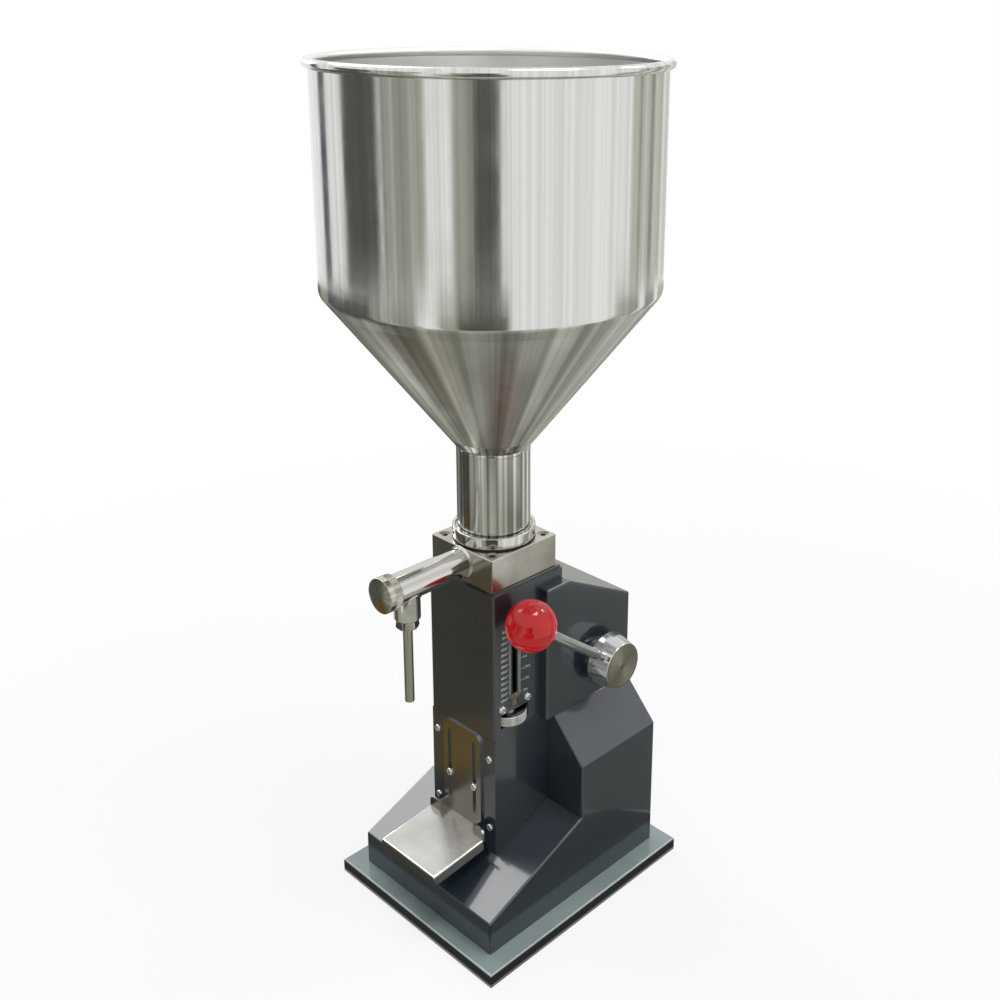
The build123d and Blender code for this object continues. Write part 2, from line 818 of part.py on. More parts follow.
# Tube cap: knurled screw cap, taken off to clean the tube
with BuildPart() as tube_cap:
    with BuildSketch(Plane.YZ):
        with BuildLine():
            Polyline(
                (cap_outer_y + cap_length, tube_z + tube_r + running_gap),
                (cap_outer_y + cap_length, tube_z + cap_r - cap_rim),
                (cap_outer_y + cap_length - cap_rim, tube_z + cap_r),
                (cap_outer_y + cap_dome, tube_z + cap_r),
            )
            RadiusArc(
                (cap_outer_y + cap_dome, tube_z + cap_r),
                (cap_outer_y, tube_z),
                radius=-(cap_r ** 2 + cap_dome ** 2) / (2 * cap_dome),
            )
            Polyline(
                (cap_outer_y, tube_z),
                (tube_end_y - cap_seal_thickness, tube_z),
                (tube_end_y - cap_seal_thickness, tube_z + tube_r + running_gap),
                (cap_outer_y + cap_length, tube_z + tube_r + running_gap),
            )
        make_face()
    revolve(axis=Axis((0, 0, tube_z), (0, 1, 0)))
tube_cap.part.label = "tube_cap"
export_step(tube_cap.part, "parts/tube_cap.step")


# Cap seal: a flat ring between the tube's end and the cap
with BuildPart() as cap_seal:
    with BuildSketch(Plane.XZ.offset(-tube_end_y)):
        with Locations((0, tube_z)):
            Circle(tube_r)
            Circle(tube_r - tube_wall, mode=Mode.SUBTRACT)
    extrude(amount=cap_seal_thickness)
cap_seal.part.label = "cap_seal"
export_step(cap_seal.part, "parts/cap_seal.step")


# Nozzle nut: the hexagon that grips the nozzle tube and closes the valve chamber above it
with BuildPart() as nozzle_nut:
    with BuildSketch(Plane.XY.offset(nozzle_boss_bottom_z)):
        with Locations((0, nozzle_y)):
            RegularPolygon(radius=nozzle_nut_flats / 2, side_count=6, major_radius=False)
            Circle(nozzle_seat_r + close_gap, mode=Mode.SUBTRACT)
    extrude(amount=-nozzle_nut_height)
    with BuildSketch(Plane.XY.offset(nozzle_boss_bottom_z)):
        with Locations((0, nozzle_y)):
            Circle(valve_chamber_r - close_gap)
            Circle(nozzle_seat_r + close_gap, mode=Mode.SUBTRACT)
    extrude(amount=gland_height)
nozzle_nut.part.label = "nozzle_nut"
export_step(nozzle_nut.part, "parts/nozzle_nut.step")


# Nozzle tube: the straight filling needle, turned down where the nut grips it
with BuildPart() as nozzle_tube:
    with BuildSketch(Plane.XY.offset(nozzle_tip_z)):
        with Locations((0, nozzle_y)):
            Circle(nozzle_r)
            Circle(nozzle_bore_r, mode=Mode.SUBTRACT)
    extrude(amount=nozzle_boss_bottom_z - nozzle_nut_height - nozzle_tip_z)
    with BuildSketch(Plane.XY.offset(nozzle_boss_bottom_z - nozzle_nut_height)):
        with Locations((0, nozzle_y)):
            Circle(nozzle_seat_r)
            Circle(nozzle_bore_r, mode=Mode.SUBTRACT)
    extrude(amount=nozzle_nut_height + gland_height)
nozzle_tube.part.label = "nozzle_tube"
export_step(nozzle_tube.part, "parts/nozzle_tube.step")


# Dose bracket: the U-shaped bearing behind the column's right wall, around the dose wheel
dose_bracket_x = column_inner_x - dose_bracket_sheet
lower_arm_top_z = wheel_bottom_z - wheel_gap
upper_arm_top_z = slot_bottom_z
with BuildPart() as dose_bracket:
    with BuildSketch(Plane.YZ.offset(dose_bracket_x)):
        with Locations((slot_y, (dose_bracket_bottom_z + dose_bracket_top_z) / 2)):
            Rectangle(2 * dose_bracket_half, dose_bracket_top_z - dose_bracket_bottom_z)
        with Locations((slot_y, (lower_arm_top_z + window_top_z) / 2)):
            Rectangle(
                2 * (window_half_width + wheel_gap),
                window_top_z - lower_arm_top_z,
                mode=Mode.SUBTRACT,
            )
        with Locations((slot_y, (slot_bottom_z + slot_top_z) / 2)):
            Rectangle(slot_width, slot_top_z - slot_bottom_z, mode=Mode.SUBTRACT)
        with Locations(*dose_screw_places):
            Circle(dose_screw_r + close_gap, mode=Mode.SUBTRACT)
    extrude(amount=dose_bracket_sheet)
    for arm_top_z in (lower_arm_top_z, upper_arm_top_z):
        with BuildSketch(Plane.XY.offset(arm_top_z)):
            with Locations(((dose_arm_inner_x + column_inner_x) / 2, slot_y)):
                Rectangle(column_inner_x - dose_arm_inner_x, 2 * dose_arm_half)
            with Locations((screw_x, slot_y)):
                Circle(screw_r + running_gap, mode=Mode.SUBTRACT)
        extrude(amount=-dose_bracket_sheet)
dose_bracket.part.label = "dose_bracket"
export_step(dose_bracket.part, "parts/dose_bracket.step")


# Two cross-recessed pan screws hold the dose bracket from outside
with BuildPart() as dose_screws:
    with BuildSketch(Plane.YZ.offset(column_half_width)):
        with Locations(*dose_screw_places):
            Circle(dose_head_r)
    extrude(amount=dose_head_height)
    dose_head_rims = dose_screws.faces().sort_by(Axis.X)[-2:].edges()
    fillet(dose_head_rims, radius=dose_head_height / 2)
    with BuildSketch(Plane.YZ.offset(column_half_width)):
        with Locations(*dose_screw_places):
            Circle(dose_screw_r)
    extrude(amount=-(sheet + 2 * dose_bracket_sheet))
dose_screws.part.label = "dose_screws"
export_step(dose_screws.part, "parts/dose_screws.step")


# Dose screw: the vertical lead screw that sets the stop nut's height
with BuildPart() as dose_screw:
    with BuildSketch(Plane.XY.offset(dose_bracket_bottom_z)):
        with Locations((screw_x, slot_y)):
            Circle(screw_r)
    extrude(amount=mounting_plate_bottom_z - loose_gap - dose_bracket_bottom_z)
    with BuildSketch(Plane.XY.offset(mounting_plate_bottom_z - loose_gap)):
        with Locations((screw_x, slot_y)):
            Circle(screw_end_r)
    extrude(amount=rod_seat_depth)
dose_screw.part.label = "dose_screw"
export_step(dose_screw.part, "parts/dose_screw.step")


# Dose wheel: the knurled disc that stands out of the window in the right wall
with BuildPart() as dose_wheel:
    with BuildSketch(Plane.XY.offset(wheel_bottom_z)):
        with Locations((screw_x, slot_y)):
            Circle(wheel_r)
    extrude(amount=wheel_thickness)
    chamfer(dose_wheel.edges(), length=wheel_edge)
    with BuildSketch(Plane.XY.offset(lower_arm_top_z + running_gap)):
        with Locations((screw_x, slot_y)):
            Circle(wheel_hub_r)
    extrude(amount=upper_arm_top_z - dose_bracket_sheet - lower_arm_top_z - 2 * running_gap)
    with BuildSketch(Plane.XY.offset(lower_arm_top_z)):
        with Locations((screw_x, slot_y)):
            Circle(screw_r + close_gap)
    extrude(amount=upper_arm_top_z - lower_arm_top_z, mode=Mode.SUBTRACT)
dose_wheel.part.label = "dose_wheel"
export_step(dose_wheel.part, "parts/dose_wheel.step")


# Stop nut: rides on the dose screw, kept from turning by its key in the slot
nut_bottom_z = slot_bottom_z + loose_gap
nut_top_z = scale_full_z + finger_above_zero - stop_gap
nut_outer_x = dose_bracket_x - loose_gap
key_outer_x = column_half_width - running_gap
pointer_x = column_half_width + running_gap
with BuildPart() as stop_nut:
    with BuildSketch(Plane.XY.offset(nut_bottom_z)):
        with Locations(((nut_inner_x + nut_outer_x) / 2, slot_y)):
            Rectangle(nut_outer_x - nut_inner_x, 2 * nut_half_width)
        with Locations((screw_x, slot_y)):
            Circle(screw_r + running_gap, mode=Mode.SUBTRACT)
    extrude(amount=nut_top_z - nut_bottom_z)
    with BuildSketch(Plane.YZ.offset(nut_outer_x)):
        with Locations((slot_y, nut_bottom_z + nut_key_height / 2)):
            Rectangle(slot_width - 2 * key_gap, nut_key_height)
    extrude(amount=key_outer_x - nut_outer_x)
    with BuildSketch(Plane.YZ.offset(nut_outer_x)):
        with Locations((slot_y, scale_full_z)):
            Rectangle(slot_width - 2 * key_gap, pointer_height - 2 * key_gap)
    extrude(amount=pointer_x - nut_outer_x)
stop_nut.part.label = "stop_nut"
export_step(stop_nut.part, "parts/stop_nut.step")


# Dose pointer: the pointed plate riveted to the stop nut over the printed scale
with BuildPart() as dose_pointer:
    with BuildSketch(Plane.YZ.offset(pointer_x)):
        with BuildLine():
            Polyline(
                (slot_y - pointer_length / 2, scale_full_z),
                (slot_y - pointer_length / 2 + pointer_height / 2, scale_full_z + pointer_height / 2),
                (slot_y + pointer_length / 2 - pointer_height / 2, scale_full_z + pointer_height / 2),
                (slot_y + pointer_length / 2, scale_full_z),
                (slot_y + pointer_length / 2 - pointer_height / 2, scale_full_z - pointer_height / 2),
                (slot_y - pointer_length / 2 + pointer_height / 2, scale_full_z - pointer_height / 2),
                close=True,
            )
        make_face()
    extrude(amount=pointer_thickness)
    with BuildSketch(Plane.YZ.offset(pointer_x + pointer_thickness)):
        with Locations((slot_y, scale_full_z)):
            Circle(pointer_rivet_r)
    extrude(amount=pointer_thickness)
    rivet_rim = dose_pointer.faces().sort_by(Axis.X)[-1].edges()
    fillet(rivet_rim, radius=pointer_thickness / 2)
dose_pointer.part.label = "dose_pointer"
export_step(dose_pointer.part, "parts/dose_pointer.step")


# Piston: grooved for its two seals and tapped for the rod
with BuildPart() as piston:
    with BuildSketch(Plane.XY.offset(piston_bottom_z)):
        Circle(bore_r - piston_gap)
    extrude(amount=piston_length)
    for groove_z in seal_levels:
        with BuildSketch(Plane.XY.offset(groove_z)):
            Circle(bore_r)
            Circle(bore_r - piston_gap - seal_depth, mode=Mode.SUBTRACT)
        extrude(amount=seal_width, mode=Mode.SUBTRACT)
    with BuildSketch(Plane.XY.offset(piston_bottom_z)):
        Circle(rod_end_r + close_gap)
    extrude(amount=rod_end_depth + loose_gap, mode=Mode.SUBTRACT)
piston.part.label = "piston"
export_step(piston.part, "parts/piston.step")


# Two seal rings in the piston's grooves
with BuildPart() as piston_seals:
    for groove_z in seal_levels:
        with BuildSketch(Plane.XY.offset(groove_z + close_gap)):
            Circle(bore_r - running_gap)
            Circle(bore_r - piston_gap - seal_depth + close_gap, mode=Mode.SUBTRACT)
        extrude(amount=seal_width - 2 * close_gap)
piston_seals.part.label = "piston_seals"
export_step(piston_seals.part, "parts/piston_seals.step")


# Piston rod: shouldered on the crosshead, with a threaded tail for its nut
with BuildPart() as piston_rod:
    with BuildSketch(Plane.XY.offset(crosshead_top_z)):
        Circle(piston_rod_r)
    extrude(amount=piston_bottom_z - crosshead_top_z)
    with BuildSketch(Plane.XY.offset(piston_bottom_z)):
        Circle(rod_end_r)
    extrude(amount=rod_end_depth)
    with BuildSketch(Plane.XY.offset(crosshead_top_z)):
        Circle(rod_end_r)
    extrude(amount=-(crosshead_thickness + rod_nut_height + rod_tail))
piston_rod.part.label = "piston_rod"
export_step(piston_rod.part, "parts/piston_rod.step")


# Rod nut under the crosshead
with BuildPart() as rod_nut:
    with BuildSketch(Plane.XY.offset(crosshead_bottom_z)):
        RegularPolygon(radius=rod_nut_flats / 2, side_count=6, major_radius=False)
        Circle(rod_end_r + close_gap, mode=Mode.SUBTRACT)
    extrude(amount=-rod_nut_height)
rod_nut.part.label = "rod_nut"
export_step(rod_nut.part, "parts/rod_nut.step")


# Crosshead: joins the piston rod in front to the rack behind and slides on both guide rods
with BuildPart() as crosshead:
    with BuildSketch(Plane.XY.offset(crosshead_bottom_z)):
        with Locations((0, guide_rod_y)):
            Rectangle(2 * (guide_rod_x + crosshead_wall), 2 * crosshead_bar_half)
        with Locations((0, guide_rod_y / 2)):
            Rectangle(2 * crosshead_stem_half, guide_rod_y)
        Circle(crosshead_stem_half)
        with Locations(*guide_rod_places):
            Circle(guide_rod_r + running_gap, mode=Mode.SUBTRACT)
        Circle(rod_end_r + close_gap, mode=Mode.SUBTRACT)
        with Locations(*rack_screw_places):
            Circle(rack_screw_r + close_gap, mode=Mode.SUBTRACT)
    extrude(amount=crosshead_thickness)
crosshead.part.label = "crosshead"
export_step(crosshead.part, "parts/crosshead.step")


# Rack: straight teeth facing back, a gap between two teeth level with the shaft at rest
arm_bottom_z = scale_zero_z + finger_above_zero
rack_half_tooth = tooth_pitch / 4 - backlash / 2
rack_tip_half = rack_half_tooth - addendum * math.tan(pressure_angle)
rack_root_half = rack_half_tooth + dedendum * math.tan(pressure_angle)
first_rack_tooth = math.ceil((crosshead_top_z + rack_root_half - shaft_z) / tooth_pitch - 0.5)
last_rack_tooth = math.floor((arm_bottom_z - rack_root_half - shaft_z) / tooth_pitch - 0.5)
with BuildPart() as rack:
    with BuildSketch(Plane.YZ.offset(-rack_width / 2)):
        with Locations(((rack_back_y + rack_root_y) / 2, (crosshead_top_z + arm_bottom_z) / 2)):
            Rectangle(rack_root_y - rack_back_y, arm_bottom_z - crosshead_top_z)
        for tooth in range(first_rack_tooth, last_rack_tooth + 1):
            tooth_z = shaft_z + (tooth + 0.5) * tooth_pitch
            with BuildLine():
                Polyline(
                    (rack_root_y, tooth_z - rack_root_half),
                    (pitch_line_y + addendum, tooth_z - rack_tip_half),
                    (pitch_line_y + addendum, tooth_z + rack_tip_half),
                    (rack_root_y, tooth_z + rack_root_half),
                    close=True,
                )
            make_face()
    extrude(amount=rack_width)
    with BuildSketch(Plane.XY.offset(crosshead_top_z)):
        with Locations(*rack_screw_places):
            Circle(rack_screw_r + close_gap)
    extrude(amount=rack_screw_grip + loose_gap, mode=Mode.SUBTRACT)
    with BuildSketch(Plane.XY.offset(arm_bottom_z)):
        with Locations(*rack_screw_places):
            Circle(rack_screw_r + close_gap)
    extrude(amount=-(rack_screw_grip + loose_gap), mode=Mode.SUBTRACT)
rack.part.label = "rack"
export_step(rack.part, "parts/rack.step")


# Stroke arm: reaches from the rack round the cylinder to the slot and lands on the stop nut
with BuildPart() as stroke_arm:
    with BuildSketch(Plane.XY.offset(arm_bottom_z)):
        with Locations((0, (rack_back_y + rack_root_y) / 2)):
            Rectangle(rack_width, rack_root_y - rack_back_y)
        with Locations(((rack_width / 2 + arm_outer_x) / 2, (rack_back_y + arm_back_y) / 2)):
            Rectangle(arm_outer_x - rack_width / 2, arm_back_y - rack_back_y)
        with Locations(*rack_screw_places):
            Circle(rack_screw_r + close_gap, mode=Mode.SUBTRACT)
        with Locations(((arm_inner_x + arm_outer_x) / 2, (arm_back_y + slot_y - arm_nose) / 2)):
            Rectangle(arm_outer_x - arm_inner_x, arm_back_y - slot_y + arm_nose)
        with Locations((guide_rod_x, guide_rod_y)):
            Circle(guide_rod_r + arm_wall)
            Circle(guide_rod_r + loose_gap, mode=Mode.SUBTRACT)
        with Locations((screw_x, slot_y)):
            Circle(screw_r + 2 * loose_gap, mode=Mode.SUBTRACT)
        with Locations(((arm_outer_x + key_outer_x) / 2, slot_y)):
            Rectangle(key_outer_x - arm_outer_x, slot_width - 2 * key_gap)
    extrude(amount=finger_thickness)
    with BuildSketch(Plane.XY.offset(arm_bottom_z + finger_thickness)):
        with Locations(*rack_screw_places):
            Circle(rack_head_r / 2 + rack_screw_r / 2 + close_gap)
    extrude(amount=-rack_head_height, mode=Mode.SUBTRACT)
stroke_arm.part.label = "stroke_arm"
export_step(stroke_arm.part, "parts/stroke_arm.step")


# Sector gear: involute teeth over the part of the circle that meets the rack
def involute(radius):
    """Roll angle of the tooth flank at this radius."""
    flank = math.acos(pitch_r * math.cos(pressure_angle) / radius)
    return math.tan(flank) - flank


def sector_point(radius, angle):
    """Point of the sector in the plane of the shaft, angle counted up from the rack's side."""
    return (shaft_y - radius * math.cos(angle), shaft_z + radius * math.sin(angle))


sector_pitch_angle = 2 * math.pi / sector_full_teeth
last_sector_tooth = math.ceil(swing / sector_pitch_angle) + 1
flank_radii = [pitch_r - dedendum + (addendum + dedendum) * step / 3 for step in range(4)]
sector_outline = []
for tooth in range(-1, last_sector_tooth + 1):
    centre_angle = tooth * sector_pitch_angle
    half_angles = [
        sector_pitch_angle / 4 - backlash / (2 * pitch_r) + involute(pitch_r) - involute(radius)
        for radius in flank_radii
    ]
    sector_outline += [
        sector_point(radius, centre_angle - half)
        for radius, half in zip(flank_radii, half_angles)
    ]
    sector_outline += [
        sector_point(radius, centre_angle + half)
        for radius, half in reversed(list(zip(flank_radii, half_angles)))
    ]
with BuildPart() as sector_gear:
    with BuildSketch(Plane.YZ.offset(-sector_width / 2)):
        with BuildLine():
            Polyline(*sector_outline, (shaft_y, shaft_z), close=True)
        make_face()
        with Locations((shaft_y, shaft_z)):
            Circle(sector_hub_r)
        sector_mid_angle = last_sector_tooth * sector_pitch_angle / 2
        for side in (-1, 1):
            with Locations(sector_point(sector_hole_at, sector_mid_angle + side * sector_hole_spread)):
                Circle(sector_hole_r, mode=Mode.SUBTRACT)
    extrude(amount=sector_width)
    with BuildSketch(Plane.YZ.offset(-sector_hub_length / 2)):
        with Locations((shaft_y, shaft_z)):
            Circle(sector_hub_r)
    extrude(amount=sector_hub_length)
    with BuildSketch(Plane.YZ.offset(-sector_hub_length / 2)):
        with Locations((shaft_y, shaft_z)):
            Circle(shaft_r + close_gap)
    extrude(amount=sector_hub_length, mode=Mode.SUBTRACT)
    with BuildSketch(Plane.XY.offset(shaft_z)):
        with Locations((pin_x, shaft_y)):
            Circle(pin_r + close_gap)
    extrude(amount=sector_hub_r, both=True, mode=Mode.SUBTRACT)
sector_gear.part.label = "sector_gear"
export_step(sector_gear.part, "parts/sector_gear.step")


# Sector pin: the taper pin's place, right through the sector's hub and the shaft
with BuildPart() as sector_pin:
    with BuildSketch(Plane.XY.offset(shaft_z)):
        with Locations((pin_x, shaft_y)):
            Circle(pin_r)
    extrude(amount=sector_hub_r - pin_sink, both=True)
sector_pin.part.label = "sector_pin"
export_step(sector_pin.part, "parts/sector_pin.step")


# Lever shaft: runs from the left cheek to the hub, grooved for its circlip
shaft_left_x = -bracket_half_width - shaft_overhang
shaft_right_x = hub_outer_x - hub_end_wall - loose_gap
groove_x = -bracket_half_width - loose_gap - circlip_thickness
with BuildPart() as lever_shaft:
    with BuildSketch(Plane.YZ.offset(shaft_left_x)):
        with Locations((shaft_y, shaft_z)):
            Circle(shaft_r)
    extrude(amount=shaft_right_x - shaft_left_x)
    with BuildSketch(Plane.YZ.offset(groove_x)):
        with Locations((shaft_y, shaft_z)):
            Circle(shaft_r)
            Circle(circlip_inner_r - close_gap, mode=Mode.SUBTRACT)
    extrude(amount=circlip_thickness, mode=Mode.SUBTRACT)
    with BuildSketch(Plane.XY.offset(shaft_z)):
        with Locations((pin_x, shaft_y)):
            Circle(pin_r + close_gap)
    extrude(amount=shaft_r, both=True, mode=Mode.SUBTRACT)
lever_shaft.part.label = "lever_shaft"
export_step(lever_shaft.part, "parts/lever_shaft.step")


# Circlip on the shaft's left end
with BuildPart() as shaft_circlip:
    with BuildSketch(Plane.YZ.offset(groove_x)):
        with Locations((shaft_y, shaft_z)):
            Circle(circlip_outer_r)
            Circle(circlip_inner_r, mode=Mode.SUBTRACT)
        with Locations((shaft_y, shaft_z - circlip_outer_r)):
            Rectangle(circlip_gap, 2 * circlip_outer_r, mode=Mode.SUBTRACT)
    extrude(amount=circlip_thickness)
shaft_circlip.part.label = "shaft_circlip"
export_step(shaft_circlip.part, "parts/shaft_circlip.step")


# Lever hub: the turned and tapered boss, drilled for the rod and its set screw
lever_direction = Vector(0, -math.cos(math.radians(lever_angle)), math.sin(math.radians(lever_angle)))
lever_origin = Vector(lever_x, shaft_y, shaft_z)
lever_plane = Plane(origin=lever_origin, x_dir=(1, 0, 0), z_dir=lever_direction)
with BuildPart() as lever_hub:
    with BuildSketch(Plane.XY.offset(shaft_z)):
        with BuildLine():
            Polyline(
                (hub_inner_x, shaft_y + shaft_r + close_gap),
                (hub_inner_x, shaft_y + hub_inner_r - hub_edge),
                (hub_inner_x + hub_edge, shaft_y + hub_inner_r),
                (hub_outer_x - hub_edge, shaft_y + hub_outer_r),
                (hub_outer_x, shaft_y + hub_outer_r - hub_edge),
                (hub_outer_x, shaft_y),
                (hub_outer_x - hub_end_wall, shaft_y),
                (hub_outer_x - hub_end_wall, shaft_y + shaft_r + close_gap),
                close=True,
            )
        make_face()
    revolve(axis=Axis((0, shaft_y, shaft_z), (1, 0, 0)))
    with BuildSketch(lever_plane.offset(rod_start)):
        Circle(lever_rod_r + close_gap)
    extrude(amount=hub_inner_r, mode=Mode.SUBTRACT)
    with BuildSketch(lever_plane.offset(-shaft_r)):
        Circle(set_screw_r + close_gap)
    extrude(amount=-hub_inner_r, mode=Mode.SUBTRACT)
lever_hub.part.label = "lever_hub"
export_step(lever_hub.part, "parts/lever_hub.step")


# Set screw: locks the hub on the shaft from the side away from the rod
with BuildPart() as hub_set_screw:
    with BuildSketch(lever_plane.offset(-shaft_r - running_gap)):
        Circle(set_screw_r)
    extrude(amount=-set_screw_length)
    with BuildSketch(lever_plane.offset(-shaft_r - running_gap - set_screw_length)):
        RegularPolygon(radius=set_screw_r / 2, side_count=6)
    extrude(amount=set_screw_length / 3, mode=Mode.SUBTRACT)
hub_set_screw.part.label = "hub_set_screw"
export_step(hub_set_screw.part, "parts/hub_set_screw.step")


# Lever rod: a plain round bar from the hub to the knob
with BuildPart() as lever_rod:
    with BuildSketch(lever_plane.offset(rod_start + loose_gap)):
        Circle(lever_rod_r)
    extrude(amount=lever_length - knob_r + knob_depth - rod_start - 2 * loose_gap)
lever_rod.part.label = "lever_rod"
export_step(lever_rod.part, "parts/lever_rod.step")


# Lever knob: the ball grip, flattened where the rod goes in
knob_centre = lever_origin + lever_direction * lever_length
with BuildPart() as lever_knob:
    with Locations(knob_centre):
        Sphere(knob_r)
    with BuildSketch(lever_plane.offset(lever_length - knob_r)):
        Circle(knob_r)
    extrude(amount=knob_flat, mode=Mode.SUBTRACT)
    with BuildSketch(lever_plane.offset(lever_length - knob_r)):
        Circle(lever_rod_r + close_gap)
    extrude(amount=knob_depth, mode=Mode.SUBTRACT)
lever_knob.part.label = "lever_knob"
export_step(lever_knob.part, "parts/lever_knob.step")


# Rack screws: two from below through the crosshead, two from above through the stroke arm
with BuildPart() as rack_screws:
    with BuildSketch(Plane.XY.offset(crosshead_bottom_z)):
        with Locations(*rack_screw_places):
            Circle(rack_head_r)
    extrude(amount=-rack_head_height)
    with BuildSketch(Plane.XY.offset(crosshead_bottom_z)):
        with Locations(*rack_screw_places):
            Circle(rack_screw_r)
    extrude(amount=crosshead_thickness + rack_screw_grip)
    with BuildSketch(Plane.XY.offset(arm_bottom_z + finger_thickness)):
        with Locations(*rack_screw_places):
            Circle(rack_head_r / 2 + rack_screw_r / 2)
    extrude(amount=-rack_head_height)
    with BuildSketch(Plane.XY.offset(arm_bottom_z + finger_thickness - rack_head_height)):
        with Locations(*rack_screw_places):
            Circle(rack_screw_r)
    extrude(amount=-(finger_thickness - rack_head_height + rack_screw_grip))
rack_screws.part.label = "rack_screws"
export_step(rack_screws.part, "parts/rack_screws.step")


# Cylinder seal: a ring in the block's lower face, over the cylinder's flange
with BuildPart() as cylinder_seal:
    with BuildSketch(Plane.XY.offset(block_bottom_z)):
        Circle(cylinder_seal_r + cylinder_seal_width - close_gap)
        Circle(cylinder_seal_r + close_gap, mode=Mode.SUBTRACT)
    extrude(amount=cylinder_seal_height - close_gap)
cylinder_seal.part.label = "cylinder_seal"
export_step(cylinder_seal.part, "parts/cylinder_seal.step")


# Inlet guide: the spider screwed into the chamber that guides the inlet valve's stem
with BuildPart() as inlet_guide:
    with BuildSketch(Plane.XY.offset(block_bottom_z + inlet_guide_lift)):
        Circle(chamber_r - close_gap)
        Circle(chamber_r - inlet_guide_ring, mode=Mode.SUBTRACT)
        with PolarLocations(0, 2, angular_range=180):
            Rectangle(2 * chamber_r - inlet_guide_ring, inlet_spider_width)
    extrude(amount=inlet_guide_height)
    with BuildSketch(Plane.XY.offset(block_bottom_z + inlet_guide_lift)):
        Circle(inlet_guide_boss_r)
    extrude(amount=inlet_guide_boss_top_z - block_bottom_z - inlet_guide_lift)
    with BuildSketch(Plane.XY.offset(block_bottom_z)):
        Circle(inlet_stem_r + running_gap)
    extrude(amount=chamber_height, mode=Mode.SUBTRACT)
inlet_guide.part.label = "inlet_guide"
export_step(inlet_guide.part, "parts/inlet_guide.step")


# Inlet valve: a disc that shuts the hopper's port from below, with its plug and stem
with BuildPart() as inlet_valve:
    with BuildSketch(Plane.XY.offset(chamber_top_z)):
        Circle(inlet_disc_r)
    extrude(amount=-inlet_disc_height)
    with BuildSketch(Plane.XY.offset(chamber_top_z)):
        Circle(inlet_seat_r - loose_gap)
    extrude(amount=inlet_plug_height)
    with BuildSketch(Plane.XY.offset(inlet_stem_end_z)):
        Circle(inlet_stem_r)
    extrude(amount=chamber_top_z - inlet_disc_height - inlet_stem_end_z)
inlet_valve.part.label = "inlet_valve"
export_step(inlet_valve.part, "parts/inlet_valve.step")


# Inlet spring: holds the inlet valve shut from the spider
inlet_spring_low_z = block_bottom_z + inlet_guide_lift + inlet_guide_height + spring_wire_r
inlet_spring_high_z = chamber_top_z - inlet_disc_height - spring_wire_r
with BuildPart() as inlet_spring:
    inlet_spring_height = inlet_spring_high_z - inlet_spring_low_z
    with BuildLine() as inlet_coil:
        Helix(
            pitch=inlet_spring_height / inlet_spring_turns,
            height=inlet_spring_height,
            radius=inlet_spring_r,
            center=(0, 0, inlet_spring_low_z),
        )
    with BuildSketch(Plane(origin=inlet_coil.line @ 0, z_dir=inlet_coil.line % 0)):
        RegularPolygon(radius=spring_wire_r - close_gap, side_count=spring_wire_sides)
    sweep(path=inlet_coil.line, is_frenet=True)
inlet_spring.part.label = "inlet_spring"
export_step(inlet_spring.part, "parts/inlet_spring.step")


# Outlet ball: the nozzle's check valve, held up against its seat
outlet_ball_z = valve_seat_z - math.sqrt(outlet_ball_r ** 2 - valve_seat_r ** 2) - running_gap
with BuildPart() as outlet_ball:
    with Locations((0, nozzle_y, outlet_ball_z)):
        Sphere(outlet_ball_r)
outlet_ball.part.label = "outlet_ball"
export_step(outlet_ball.part, "parts/outlet_ball.step")


# Outlet spring: stands on the nozzle nut's gland and holds the ball up
outlet_spring_low_z = nozzle_boss_bottom_z + gland_height + spring_wire_r
outlet_spring_high_z = outlet_ball_z - math.sqrt(
    (outlet_ball_r + spring_wire_r) ** 2 - outlet_spring_r ** 2
)
with BuildPart() as outlet_spring:
    outlet_spring_height = outlet_spring_high_z - outlet_spring_low_z
    with BuildLine() as outlet_coil:
        Helix(
            pitch=outlet_spring_height / outlet_spring_turns,
            height=outlet_spring_height,
            radius=outlet_spring_r,
            center=(0, nozzle_y, outlet_spring_low_z),
        )
    with BuildSketch(Plane(origin=outlet_coil.line @ 0, z_dir=outlet_coil.line % 0)):
        RegularPolygon(radius=spring_wire_r - close_gap, side_count=spring_wire_sides)
    sweep(path=outlet_coil.line, is_frenet=True)
outlet_spring.part.label = "outlet_spring"
export_step(outlet_spring.part, "parts/outlet_spring.step")


